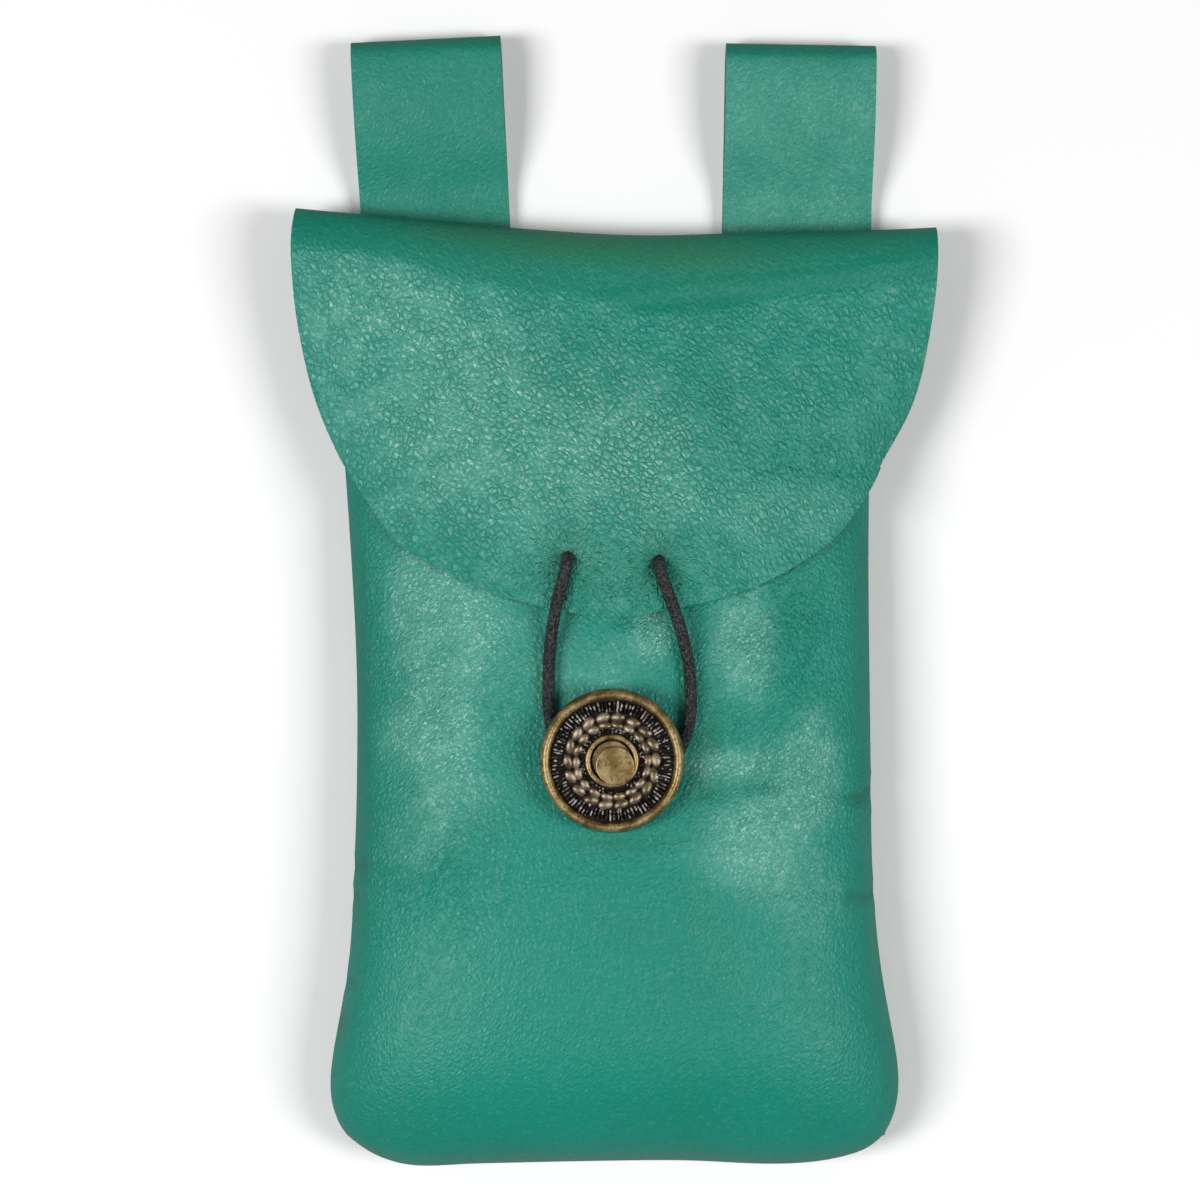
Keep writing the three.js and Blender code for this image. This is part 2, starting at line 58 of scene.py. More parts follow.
buttonLow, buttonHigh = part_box("button")
buttonMiddle = (buttonLow + buttonHigh) / 2
buttonFromFold = Vector((-0.5386 * mm, -93.1 * mm, 0))  # from the lowest place of the top fold
foldPlace = Vector((buttonMiddle.x, buttonMiddle.y, 0)) - buttonFromFold


# Camera

camera = {"lens": 100, "sensor": 36, "near": 0.01, "far": 10, "place": (-2.6 * mm, 0.0, 604 * mm)}


def addCamera():
    data = bpy.data.cameras.new("camera")
    data.lens = camera["lens"]
    data.sensor_width = camera["sensor"]
    data.clip_start = camera["near"]
    data.clip_end = camera["far"]
    made = bpy.data.objects.new("camera", data)
    made.location = camera["place"]
    bpy.context.scene.collection.objects.link(made)
    bpy.context.scene.camera = made


addCamera()


# Helpers for objects and meshes

def addObject(name, data, materials):
    made = bpy.data.objects.new(name, data)
    bpy.context.scene.collection.objects.link(made)
    for material in materials:
        data.materials.append(material)
    return made


def addFromBmesh(name, bm, materials):
    mesh = bpy.data.meshes.new(name)
    bm.to_mesh(mesh)
    bm.free()
    return addObject(name, mesh, materials)


def finishedMesh(piece):
    graph = bpy.context.evaluated_depsgraph_get()
    return bpy.data.meshes.new_from_object(piece.evaluated_get(graph))


# Turns the piece's modifiers into its mesh.
def applyModifiers(piece):
    finished = finishedMesh(piece)
    piece.modifiers.clear()
    piece.data = finished


def subdivide(piece, levels):
    step = piece.modifiers.new("smooth", "SUBSURF")
    step.levels = levels
    step.render_levels = levels
    step.boundary_smooth = "PRESERVE_CORNERS"
    applyModifiers(piece)


# Gives a skin its wall, its flesh side and its cut edge.
def thicken(piece, thickness, offset):
    step = piece.modifiers.new("wall", "SOLIDIFY")
    step.thickness = thickness
    step.offset = offset
    step.use_even_offset = True
    step.material_offset = 1
    step.material_offset_rim = 2
    applyModifiers(piece)


# The sewn borders show dyed leather, and only the free ones a raw edge.
def dyeSeams(mesh, isFree):
    for face in mesh.polygons:
        if face.material_index == 2 and not isFree(face.center):
            face.material_index = 0


def shadeSmooth(mesh, sharpFrom):
    bm = bmesh.new()
    bm.from_mesh(mesh)
    for face in bm.faces:
        face.smooth = True
    for edge in bm.edges:
        if len(edge.link_faces) == 2:
            edge.smooth = edge.calc_face_angle() < sharpFrom
    bm.to_mesh(mesh)
    bm.free()


# The places of a mesh's vertices, or their normals.
def readVertices(mesh, what="co"):
    values = np.empty(len(mesh.vertices) * 3, np.float32)
    mesh.vertices.foreach_get(what, values)
    return values.reshape(-1, 3).astype(float)


def writeVertices(mesh, place):
    mesh.vertices.foreach_set("co", place.astype(np.float32).ravel())
    mesh.update()


def turnVerts(bm, verts, angle, axis="Z"):
    bmesh.ops.rotate(bm, verts=verts, cent=(0, 0, 0), matrix=Matrix.Rotation(angle, 3, axis))


def roundEdges(bm, edges, offset, segments):
    return bmesh.ops.bevel(bm, geom=edges, offset=offset, segments=segments, profile=0.5,
                           affect="EDGES", material=-1)["verts"]


# Keeps a value from 0 to 1 at each vertex for the materials to read.
def paint(mesh, name, values):
    layer = mesh.attributes.new(name, "FLOAT", "POINT")
    layer.data.foreach_set("value", np.clip(values, 0, 1).astype(np.float32))


def smooth(low, high, value):
    share = np.clip((value - low) / (high - low), 0, 1)
    return share * share * (3 - 2 * share)


# Helpers for shader nodes

# Links each value to its input where it is a socket, and otherwise sets it there.
def feed(tree, node, inputs):
    for name, value in inputs.items():
        if isinstance(value, bpy.types.NodeSocket):
            tree.links.new(value, node.inputs[name])
        elif node.inputs[name].type == "RGBA":
            node.inputs[name].default_value = (*value, 1)
        else:
            node.inputs[name].default_value = value


def put(tree, kind, inputs, **settings):
    node = tree.nodes.new(kind)
    for name, value in settings.items():
        setattr(node, name, value)
    feed(tree, node, inputs)
    return node


def calc(tree, operation, first, second=0.0, third=0.0):
    return put(tree, "ShaderNodeMath", {0: first, 1: second, 2: third}, operation=operation).outputs[0]


def calcVector(tree, operation, first, second=(0.0, 0.0, 0.0)):
    node = put(tree, "ShaderNodeVectorMath", {0: first, 1: second}, operation=operation)
    return node.outputs["Value" if operation == "LENGTH" else "Vector"]


def turnVector(tree, vector, angle):
    inputs = {"Vector": vector, "Angle": angle}
    return put(tree, "ShaderNodeVectorRotate", inputs, rotation_type="Z_AXIS").outputs[0]


def noise(tree, place, scale, detail):
    return put(tree, "ShaderNodeTexNoise", {"Vector": place, "Scale": scale, "Detail": detail}).outputs[0]


# Adds one layer of relief to the bump under it.
def raiseBump(tree, height, distance, below=None):
    inputs = {"Height": height, "Distance": distance}
    if below:
        inputs["Normal"] = below
    return put(tree, "ShaderNodeBump", inputs).outputs[0]


def blendColour(tree, factor, first, second):
    return put(tree, "ShaderNodeMix", {0: factor, 6: first, 7: second}, data_type="RGBA").outputs[2]


def spread(tree, value, low, high, toLow=0.0, toHigh=1.0):
    inputs = {"Value": value, "From Min": low, "From Max": high, "To Min": toLow, "To Max": toHigh}
    return put(tree, "ShaderNodeMapRange", inputs, interpolation_type="SMOOTHSTEP").outputs[0]


def readPaint(tree, name):
    return put(tree, "ShaderNodeAttribute", {}, attribute_name=name).outputs["Fac"]


# Inputs and outputs are given as names of each kind of socket.
def newGroup(name, inputs, outputs):
    tree = bpy.data.node_groups.new(name, "ShaderNodeTree")
    for side, kinds in (("INPUT", inputs), ("OUTPUT", outputs)):
        for kind, labels in kinds.items():
            for label in labels:
                tree.interface.new_socket(label, in_out=side, socket_type="NodeSocket" + kind)
    return tree, tree.nodes.new("NodeGroupInput").outputs, tree.nodes.new("NodeGroupOutput").inputs


def useGroup(tree, group, inputs):
    return put(tree, "ShaderNodeGroup", inputs, node_tree=group).outputs


def newMaterial(name):
    made = bpy.data.materials.new(name)
    made.use_nodes = True
    return made, made.node_tree, made.node_tree.nodes["Principled BSDF"]


def objectPlace(tree):
    return put(tree, "ShaderNodeTexCoord", {}).outputs["Object"]


# Leather

# Pebbled grain: low, flat-topped cells with thin creases between them.
def makeGrainGroup():
    inputs = {"Vector": ["Place"], "Float": ["Cells", "Turn", "Stretch"]}
    tree, given, result = newGroup("leatherGrain", inputs, {"Float": ["Height", "Crease"]})
    scale = put(tree, "ShaderNodeCombineXYZ", {"X": 1.0, "Y": given["Stretch"], "Z": 1.0}).outputs[0]
    drawn = calcVector(tree, "MULTIPLY", turnVector(tree, given["Place"], given["Turn"]), scale)
    drift = put(tree, "ShaderNodeTexNoise", {"Vector": drawn, "Scale": 480.0, "Detail": 1.0}).outputs["Color"]
    drift = calcVector(tree, "SUBTRACT", drift, (0.5, 0.5, 0.5))
    moved = calcVector(tree, "ADD", drawn, calcVector(tree, "MULTIPLY", drift, (0.0009, 0.0009, 0.0009)))
    edges = put(tree, "ShaderNodeTexVoronoi", {"Vector": moved, "Scale": given["Cells"]},
                feature="DISTANCE_TO_EDGE").outputs["Distance"]
    fine = noise(tree, drawn, 2600.0, 1.0)
    worn = noise(tree, drawn, 260.0, 1.0)
    cut = calc(tree, "MULTIPLY", spread(tree, edges, 0.14, 0.0), spread(tree, worn, 0.36, 0.6, 0.35, 1.0))
    height = calc(tree, "SUBTRACT", spread(tree, edges, 0.0, 0.5), calc(tree, "MULTIPLY", cut, 0.3))
    tree.links.new(calc(tree, "MULTIPLY_ADD", fine, 0.35, height), result["Height"])
    tree.links.new(cut, result["Crease"])
    return tree


# Fine wrinkles: two families of short lines, each drawn out along a direction of its own.
def makeWrinkleGroup():
    inputs = {"Vector": ["Place"], "Float": ["Turn", "Cross", "Spacing"]}
    tree, given, result = newGroup("fineWrinkles", inputs, {"Float": ["Height"]})
    families = []
    for angle in (given["Turn"], calc(tree, "ADD", given["Turn"], given["Cross"])):
        drawn = calcVector(tree, "MULTIPLY", turnVector(tree, given["Place"], angle), (0.3, 1.0, 1.0))
        waves = put(tree, "ShaderNodeTexNoise", {"Vector": drawn, "Scale": given["Spacing"], "Detail": 1.0,
                                                 "Roughness": 0.6}).outputs[0]
        families.append(spread(tree, calc(tree, "ABSOLUTE", calc(tree, "SUBTRACT", waves, 0.5)), 0.0, 0.09))
    choice = spread(tree, noise(tree, given["Place"], 70.0, 1.0), 0.42, 0.58)
    mixed = put(tree, "ShaderNodeMix", {0: choice, 2: families[0], 3: families[1]}, data_type="FLOAT")
    tree.links.new(mixed.outputs[0], result["Height"])
    return tree


# Creases that fan out from a hole that pulls on the leather.
def makeFanGroup():
    inputs = {"Vector": ["Place", "Hole"], "Float": ["Reach"]}
    tree, given, result = newGroup("holeFan", inputs, {"Float": ["Height"]})
    away = calcVector(tree, "SUBTRACT", given["Place"], given["Hole"])
    flat = calcVector(tree, "MULTIPLY", away, (1.0, 1.0, 0.0))
    far = calcVector(tree, "LENGTH", flat)
    along = put(tree, "ShaderNodeCombineXYZ", {"Z": calc(tree, "MULTIPLY", far, 30.0)}).outputs[0]
    ring = calcVector(tree, "ADD", calcVector(tree, "NORMALIZE", flat), along)
    rays = noise(tree, ring, 7.0, 1.0)
    ridge = spread(tree, calc(tree, "ABSOLUTE", calc(tree, "SUBTRACT", rays, 0.5)), 0.0, 0.1)
    fade = spread(tree, calc(tree, "DIVIDE", calcVector(tree, "LENGTH", away), given["Reach"]), 1.0, 0.3)
    tree.links.new(calc(tree, "MULTIPLY", calc(tree, "SUBTRACT", ridge, 1.0), fade), result["Height"])
    return tree


# Dyed leather's colour: slow blotches, a fine mottle, a darker tone in the grain's creases, painted
# shade in sheltered places, a painted sheen of pale haze with painted glints, and an olive, darker tint.
def makeToneGroup():
    inputs = {"Vector": ["Place"], "Color": ["Dye", "Deep", "Pale"],
              "Float": ["Crease", "PaintedSheen", "PaintedShade", "OliveTint"]}
    tree, given, result = newGroup("dyedTone", inputs, {"Color": ["Colour"], "Float": ["Roughness"]})
    slow = noise(tree, given["Place"], 42.0, 2.0)
    cloud = noise(tree, given["Place"], 150.0, 3.0)
    mottle = noise(tree, given["Place"], 1000.0, 3.0)
    speck = noise(tree, given["Place"], 2300.0, 1.0)
    # Painted sheen patches: pale haze blended into the colour below, and a lower roughness there.
    ragged = calc(tree, "MULTIPLY_ADD", calc(tree, "SUBTRACT", cloud, 0.5), 0.4, given["PaintedSheen"])
    patch = calc(tree, "MULTIPLY", spread(tree, ragged, 0.05, 0.75), spread(tree, given["PaintedSheen"], 0.0, 0.1))
    colour = blendColour(tree, spread(tree, slow, 0.45, 0.75, 0.0, 0.25), given["Dye"], given["Deep"])
    # Painted shade: the darker colour blended in wherever the sheltered places are painted.
    colour = blendColour(tree, given["PaintedShade"], colour, given["Deep"])
    colour = blendColour(tree, spread(tree, mottle, 0.5, 0.76, 0.0, 0.14), colour, given["Pale"])
    # Painted sheen: pale haze over the patches, thinner in the creases.
    paintedSheenShare = calc(tree, "MULTIPLY", patch, spread(tree, mottle, 0.3, 0.65, 0.72, 1.0))
    paintedSheenShare = calc(tree, "MULTIPLY", paintedSheenShare, calc(tree, "MULTIPLY_ADD", given["Crease"], -0.7, 1.0))
    colour = blendColour(tree, paintedSheenShare, colour, given["Pale"])
    # Painted glints: tiny whitish specks inside the painted sheen.
    bright = spread(tree, speck, 0.59, 0.69, 0.0, 0.65)
    paintedGlint = calc(tree, "MULTIPLY", bright, calc(tree, "POWER", paintedSheenShare, 1.5))
    colour = blendColour(tree, paintedGlint, colour, (0.4, 0.58, 0.52))
    colour = blendColour(tree, calc(tree, "MULTIPLY", given["Crease"], 0.35), colour, given["Deep"])
    # An olive, darker tint where its mask is painted.
    colour = blendColour(tree, given["OliveTint"], colour, (0.045, 0.15, 0.06))
    tree.links.new(colour, result["Colour"])
    rough = calc(tree, "MULTIPLY_ADD", calc(tree, "SUBTRACT", mottle, 0.5), 0.3, 0.44)
    rough = calc(tree, "MULTIPLY_ADD", patch, -0.2, rough)
    rough = calc(tree, "MULTIPLY_ADD", given["Crease"], 0.12, rough)
    tree.links.new(rough, result["Roughness"])
    return tree


grainGroup = makeGrainGroup()
wrinkleGroup = makeWrinkleGroup()
fanGroup = makeFanGroup()
toneGroup = makeToneGroup()

leatherLook = {
    "dye": (0.004, 0.24, 0.174),
    "deep": (0.002, 0.17, 0.108),
    "pale": (0.1, 0.375, 0.297),
    "cells": {"Cells": 960.0, "Turn": -0.5, "Stretch": 0.72},
    "crackle": {"Cells": 1280.0, "Turn": 0.7, "Stretch": 0.6},
    "wrinkles": {"Turn": 0.5, "Cross": -1.1, "Spacing": 720.0},
    "fanReach": 0.011,
    "grainDepth": 0.00022,
    "crackleDepth": 0.0002,
    "wrinkleDepth": 0.00007,
    "fanDepth": 0.00012,
    "gloss": 0.36,
}
holes = [foldPlace + Vector((-8.16, -57.7, 23.3)) * mm, foldPlace + Vector((7.65, -58.5, 23.3)) * mm]


# The dyed outer face of the leather.
def makeGrainSide(name, look, withFans):
    material, tree, shader = newMaterial(name)
    place = objectPlace(tree)
    grainAmount = readPaint(tree, "grain")
    wrinkleAmount = readPaint(tree, "wrinkle")
    grain = useGroup(tree, grainGroup, {"Place": place, **look["cells"]})
    crackle = useGroup(tree, grainGroup, {"Place": place, **look["crackle"]})
    wrinkles = useGroup(tree, wrinkleGroup, {"Place": place, **look["wrinkles"]})
    crackled = calc(tree, "MULTIPLY", wrinkleAmount, 0.8)
    inCrease = calc(tree, "MULTIPLY", grain["Crease"], grainAmount)
    inCrease = calc(tree, "MAXIMUM", inCrease, calc(tree, "MULTIPLY", crackle["Crease"], crackled))
    tone = useGroup(tree, toneGroup, {
        "Place": place, "Dye": look["dye"], "Deep": look["deep"], "Pale": look["pale"],
        "Crease": inCrease, "PaintedSheen": readPaint(tree, "painted_sheen"),
        "PaintedShade": readPaint(tree, "painted_shade"), "OliveTint": readPaint(tree, "olive_tint"),
    })
    height = calc(tree, "MULTIPLY", grain["Height"], grainAmount)
    bump = raiseBump(tree, height, look["grainDepth"])
    height = calc(tree, "MULTIPLY", crackle["Height"], wrinkleAmount)
    bump = raiseBump(tree, height, look["crackleDepth"], bump)
    everywhere = calc(tree, "MULTIPLY_ADD", wrinkleAmount, 0.5, 0.3)
    height = calc(tree, "MULTIPLY", wrinkles["Height"], everywhere)
    bump = raiseBump(tree, height, look["wrinkleDepth"], bump)
    if withFans:
        for hole in holes:
            fan = useGroup(tree, fanGroup, {"Place": place, "Hole": hole, "Reach": look["fanReach"]})
            bump = raiseBump(tree, fan["Height"], look["fanDepth"], bump)
    feed(tree, shader, {"Base Color": tone["Colour"], "Roughness": tone["Roughness"],
                        "Specular IOR Level": look["gloss"], "Normal": bump})
    return material


# The undyed, napped inner face.
def makeFleshSide(name):
    material, tree, shader = newMaterial(name)
    place = objectPlace(tree)
    nap = noise(tree, place, 900.0, 5.0)
    colour = blendColour(tree, noise(tree, place, 60.0, 3.0), (0.06, 0.22, 0.16), (0.13, 0.28, 0.21))
    colour = blendColour(tree, spread(tree, nap, 0.4, 0.7, 0.0, 0.5), colour, (0.2, 0.34, 0.27))
    feed(tree, shader, {"Base Color": colour, "Roughness": 0.9, "Sheen Weight": 0.3,
                        "Normal": raiseBump(tree, nap, 0.0003)})
    return material


# The raw cut edge: pale fibres with the dye soaked in at both faces.
def makeCutEdge(name):
    material, tree, shader = newMaterial(name)
    place = objectPlace(tree)
    fibres = noise(tree, place, 1500.0, 4.0)
    colour = blendColour(tree, spread(tree, fibres, 0.35, 0.7), (0.03, 0.2, 0.14), (0.17, 0.32, 0.25))
    feed(tree, shader, {"Base Color": colour, "Roughness": 0.75, "Normal": raiseBump(tree, fibres, 0.0003)})
    return material


grainSide = makeGrainSide("pouchLeather", leatherLook, False)
flapSide = makeGrainSide("flapLeather", leatherLook, True)
fleshSide = makeFleshSide("leatherFlesh")
cutEdge = makeCutEdge("leatherCutEdge")
loopLook = dict(leatherLook, grainDepth=0.0001, gloss=0.3, dye=(0.016, 0.23, 0.166))
loopLook["cells"] = {"Cells": 950.0, "Turn": -0.5, "Stretch": 0.72}
loopSide = makeGrainSide("loopLeather", loopLook, False)
print("leather materials ready")


# Skins from the solids

skin = {
    "weld": 0.02 * mm,
    "flatTurn": math.radians(60),
    "shapeTurn": math.radians(80),
    "thickness": 1.4 * mm,
    "cutWidth": 2.1 * mm,
    "sharpFrom": math.radians(50),
    # the bend, in degrees, at which each sheet's outer face ends
    "ends": {"front_panel": 46, "back_and_flap": 38},
}


# Groups of faces that meet without a sharp edge, the largest first.
def floodFaces(bm, limit):
    left = set(bm.faces)
    groups = []
    for start in bm.faces:
        if start not in left:
            continue
        left.discard(start)
        group = [start]
        for face in group:
            for edge in face.edges:
                if len(edge.link_faces) == 2 and edge.calc_face_angle() < limit:
                    for other in edge.link_faces:
                        if other in left:
                            left.discard(other)
                            group.append(other)
        groups.append(group)
    return sorted(groups, key=len, reverse=True)


# The narrow faces of one side of the leather that meet its other side: its cut edge.
def narrowRow(group, others):
    return {face for face in group for edge in face.edges for other in edge.link_faces
            if other in others and face.calc_area() / edge.calc_length() < skin["cutWidth"]}


# The outer face of a leather sheet as a grid of quads, without its flesh side and edges.
def outerSkin(nodeName):
    bm = bmesh.new()
    bm.from_mesh(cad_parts[nodeName].data)
    bmesh.ops.remove_doubles(bm, verts=bm.verts, dist=skin["weld"])
    bmesh.ops.join_triangles(bm, faces=bm.faces, angle_face_threshold=skin["flatTurn"],
                             angle_shape_threshold=skin["shapeTurn"])
    first, second = floodFaces(bm, math.radians(skin["ends"][nodeName]))[:2]

    def highest(group):
        return max(vert.co.z for face in group for vert in face.verts)

    outer, inner = (first, second) if highest(first) > highest(second) else (second, first)
    ownEdge = narrowRow(outer, set(inner))
    if len(ownEdge) < len(narrowRow(inner, set(outer))):
        ownEdge = set()
    kept = set(outer) - ownEdge
    bmesh.ops.delete(bm, geom=[face for face in bm.faces if face not in kept], context="FACES")
    return bm


holeShape = {
    "radius": 1.45 * mm,
    "dip": 0.3 * mm,
    "flare": (1.9, 0.4),  # the dip's outer ring, as shares of the radius and the dip
    "remade": 3 * mm,
    "triangles": 9 * mm,
    "border": 12 * mm,
    "lowest": buttonLow.z - 4 * mm,
}


# Takes the hole's many-cornered rim out of the skin and leads the cells round a clean one.
def remakeHole(bm, hole):
    radius, dip = holeShape["radius"], holeShape["dip"]
    flareRadius, flareDip = holeShape["flare"]

    def around(vert, reach):
        return (vert.co.xy - hole.xy).length < reach and vert.co.z > holeShape["lowest"]

    rim = [vert for vert in bm.verts if around(vert, holeShape["remade"])]
    torn = {face for vert in rim for face in vert.link_faces}
    torn |= {face for face in bm.faces
             if len(face.verts) == 3 and around(face.verts[0], holeShape["triangles"])}
    bmesh.ops.delete(bm, geom=list(torn), context="FACES")
    border = [edge for edge in bm.edges if edge.is_boundary and not touchesEdge(edge)
              and all(around(vert, holeShape["border"]) for vert in edge.verts)]
    patch = bmesh.ops.contextual_create(bm, geom=border)["faces"][0]
    corners = [vert.co.copy() for vert in patch.verts]
    slope = np.linalg.lstsq(np.array([(1, c.x - hole.x, c.y - hole.y) for c in corners]),
                            np.array([c.z for c in corners]), rcond=None)[0]
    for reach, depth in ((radius * flareRadius, dip * flareDip), (radius, dip)):
        bmesh.ops.inset_region(bm, faces=[patch], thickness=0.2 * mm, use_boundary=True)
        for vert in patch.verts:
            away = (vert.co.xy - hole.xy).normalized() * reach
            level = slope[0] + slope[1] * away.x + slope[2] * away.y - depth
            vert.co = (hole.x + away.x, hole.y + away.y, level)
    bmesh.ops.delete(bm, geom=[patch], context="FACES")


# True on the flap's own free edge, which the tip brings near the holes.
def touchesEdge(edge):
    return all(vert.co.y < flapTip + 4 * mm and vert.is_boundary and len(vert.link_edges) < 4
               for vert in edge.verts)


flapTip = foldPlace.y - 68.4 * mm

# Front panel

# Creases, dents and folds. Each row is a line through pixels of the photograph, with its width
# and depth in millimetres. A negative depth is a raised fold.
frontCreases = [
    {"line": [(700, 792), (735, 783), (790, 786), (835, 793), (872, 802)], "wide": 1.1, "deep": 0.35},
    {"line": [(742, 893), (790, 887), (835, 892)], "wide": 1.0, "deep": 0.2},
    {"line": [(386, 702), (420, 700), (445, 712), (470, 718)], "wide": 1.1, "deep": 0.25},
    {"line": [(392, 560), (390, 640), (396, 700), (388, 770)], "wide": 3.0, "deep": 0.3},
    {"line": [(440, 655), (455, 690), (500, 700)], "wide": 2.4, "deep": 0.18},
    {"line": [(344, 872), (362, 868)], "wide": 1.2, "deep": 0.5},
    {"line": [(342, 902), (356, 900)], "wide": 1.0, "deep": 0.4},
    {"line": [(336, 990), (352, 984)], "wide": 1.2, "deep": 0.4},
    {"line": [(878, 788), (860, 800)], "wide": 1.2, "deep": 0.5},
    {"line": [(884, 893), (868, 899), (852, 897)], "wide": 1.2, "deep": 0.5},
    {"line": [(452, 740), (500, 752), (545, 745)], "wide": 2.6, "deep": 0.2},
    {"line": [(700, 640), (760, 622), (820, 600)], "wide": 3.0, "deep": 0.25},
    {"line": [(688, 690), (730, 700), (770, 730)], "wide": 3.2, "deep": 0.2},
    {"line": [(470, 900), (540, 860), (590, 850)], "wide": 3.4, "deep": 0.2},
    {"line": [(640, 845), (700, 880), (750, 960)], "wide": 4.0, "deep": 0.25},
    {"line": [(622, 620), (648, 618), (674, 610)], "wide": 1.4, "deep": 0.45},
]
creaseLip = {"height": 0.35, "away": 1.9, "width": 0.9}  # as shares of a crease's depth and width


# Each vertex's distance, in plan, from a line through pixels of the photograph.
def lineDistance(place, line):
    corners = [np.array(seen(*corner)) for corner in line]
    nearest = np.full(len(place), 1.0)
    for start, end in zip(corners, corners[1:]):
        step = end - start
        share = np.clip(((place[:, :2] - start) @ step) / (step @ step), 0, 1)
        away = np.linalg.norm(place[:, :2] - start - share[:, None] * step, axis=1)
        nearest = np.minimum(nearest, away)
    return nearest


# Sinks each crease into the vertices that face up, and raises a low lip beside it.
def pressCreases(mesh, rows):
    place = readVertices(mesh)
    normal = readVertices(mesh, "normal")
    sink = np.zeros(len(place))
    for row in rows:
        away = lineDistance(place, row["line"]) / (row["wide"] * mm)
        lip = creaseLip["height"] * np.exp(-((away - creaseLip["away"]) / creaseLip["width"]) ** 2)
        sink += row["deep"] * mm * (np.exp(-away ** 2) - lip)
    facing = smooth(-0.2, 0.5, normal[:, 2])
    writeVertices(mesh, place - normal * (sink * facing)[:, None])


# Painted shade, darker along the narrow creases.
def creaseShade(place, rows):
    total = np.zeros(len(place))
    for row in rows:
        if row["wide"] < 1.5 and row["deep"] > 0:
            away = lineDistance(place, row["line"]) / (0.6 * row["wide"] * mm)
            total += min(1.7 * row["deep"], 1) * np.exp(-away ** 2)
    return total


# How many pixels of the photograph each vertex lies below a line across it.
def belowLine(place, line):
    across, down = zip(*line)
    level = np.interp(place[:, 0] / photo["pixel"] + photo["middle"], across, down)
    return photo["level"] - place[:, 1] / photo["pixel"] - level


# A value at each vertex from soft round patches, placed by pixels of the photograph.
def spots(place, rows):
    total = np.zeros(len(place))
    for across, down, wide, tall, amount in rows:
        middle = seen(across, down)
        reach = ((place[:, 0] - middle[0]) / (wide * photo["pixel"])) ** 2
        reach += ((place[:, 1] - middle[1]) / (tall * photo["pixel"])) ** 2
        total += amount * np.exp(-reach)
    return total


seam = {"reach": 1.6 * mm, "depth": 0.45 * mm, "closing": 0.12 * mm}


# Rolls the skin's sewn border inwards and towards its neighbour, so that the two skins meet in
# a furrow. Closing is the way towards the neighbour, and keep tells a free edge.
def turnIn(piece, closing, keep):
    bm = bmesh.new()
    bm.from_mesh(piece.data)
    border = [edge for edge in bm.edges if edge.is_boundary]
    points = [vert.co.copy() for edge in border for vert in edge.verts if not keep(vert.co)]
    normals = {vert.index: vert.normal.copy() for vert in bm.verts}
    tree = kdtree.KDTree(len(points))
    for index, point in enumerate(points):
        tree.insert(point, index)
    tree.balance()
    for vert in bm.verts:
        distance = tree.find(vert.co)[2]
        if distance < seam["reach"]:
            share = 1 - distance / seam["reach"]
            vert.co -= normals[vert.index] * seam["depth"] * share * share
            vert.co.z += closing * share
    bm.to_mesh(piece.data)
    bm.free()


frontPaint = {
    # across, down, half width, half height in pixels, amount
    # Painted sheen patches, where the leather is also made glossier.
    "painted_sheen": [(416, 590, 26, 50, 0.7), (440, 650, 40, 62, 0.95), (428, 732, 42, 30, 0.9),
            (490, 620, 60, 60, 0.4), (434, 600, 22, 40, 0.5), (455, 790, 44, 40, 0.4),
            (418, 845, 34, 34, 0.4), (500, 760, 60, 80, 0.15), (744, 642, 32, 56, 0.95),
            (730, 764, 40, 18, 0.8), (806, 764, 34, 48, 0.9), (764, 818, 54, 24, 0.8),
            (740, 860, 60, 30, 0.5), (653, 632, 18, 24, 1.0), (800, 900, 50, 40, 0.3),
            (600, 680, 60, 60, 0.4)],
    "wrinkle": [(420, 660, 50, 110, 0.7), (430, 870, 70, 50, 0.5), (742, 640, 50, 60, 0.6),
                (780, 780, 80, 60, 0.7), (652, 636, 20, 28, 0.8), (500, 700, 50, 60, 0.3),
                (800, 650, 40, 60, 0.4)],
    "olive_tint": [(338, 1025, 9, 18, 0.5), (324, 1070, 6, 30, 0.3)],
    "grain": (0.15, 0.35),  # below and above the crown
    "grainTurns": (-60 * mm, 30 * mm),
    # Painted shade and shadow: the pouch's sides, beside the cords, below the button, in dips and under the
    # flap's tip.
    "painted_shade": [(702, 775, 14, 50, 0.6), (625, 840, 66, 10, 0.6),
                (360, 640, 24, 130, 0.6), (362, 830, 20, 150, 0.5), (545, 700, 9, 60, 0.5),
                (795, 610, 26, 50, 0.4), (400, 1120, 90, 40, 0.25), (712, 720, 10, 60, 0.5),
                (640, 607, 32, 6, 0.9)],
}


def makeFrontPanel():
    bm = outerSkin("front_panel")
    piece = addFromBmesh("front_panel_leather", bm, [grainSide, fleshSide, cutEdge])
    subdivide(piece, 3)
    low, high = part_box("front_panel")
    turnIn(piece, -seam["closing"], lambda spot: spot.y > high.y - 1 * mm)
    pressCreases(piece.data, frontCreases)
    thicken(piece, skin["thickness"], -1)
    dyeSeams(piece.data, lambda spot: spot.y > high.y - 1.5 * mm)
    place = readVertices(piece.data)
    plain, pebbled = frontPaint["grain"]
    above = smooth(*frontPaint["grainTurns"], place[:, 1])
    paint(piece.data, "grain", plain + (pebbled - plain) * above)
    # Painted sheen on the patches listed above.
    paint(piece.data, "painted_sheen", spots(place, frontPaint["painted_sheen"]))
    paint(piece.data, "wrinkle", 0.3 + spots(place, frontPaint["wrinkle"]))
    paint(piece.data, "olive_tint", spots(place, frontPaint["olive_tint"]))
    # Painted shade from these patches and along the narrow creases.
    paint(piece.data, "painted_shade", spots(place, frontPaint["painted_shade"]) + creaseShade(place, frontCreases))
    shadeSmooth(piece.data, skin["sharpFrom"])
    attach(piece, "root")
    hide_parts("front_panel")
    print("front panel:", len(piece.data.polygons), "faces")


makeFrontPanel()


# Back and flap

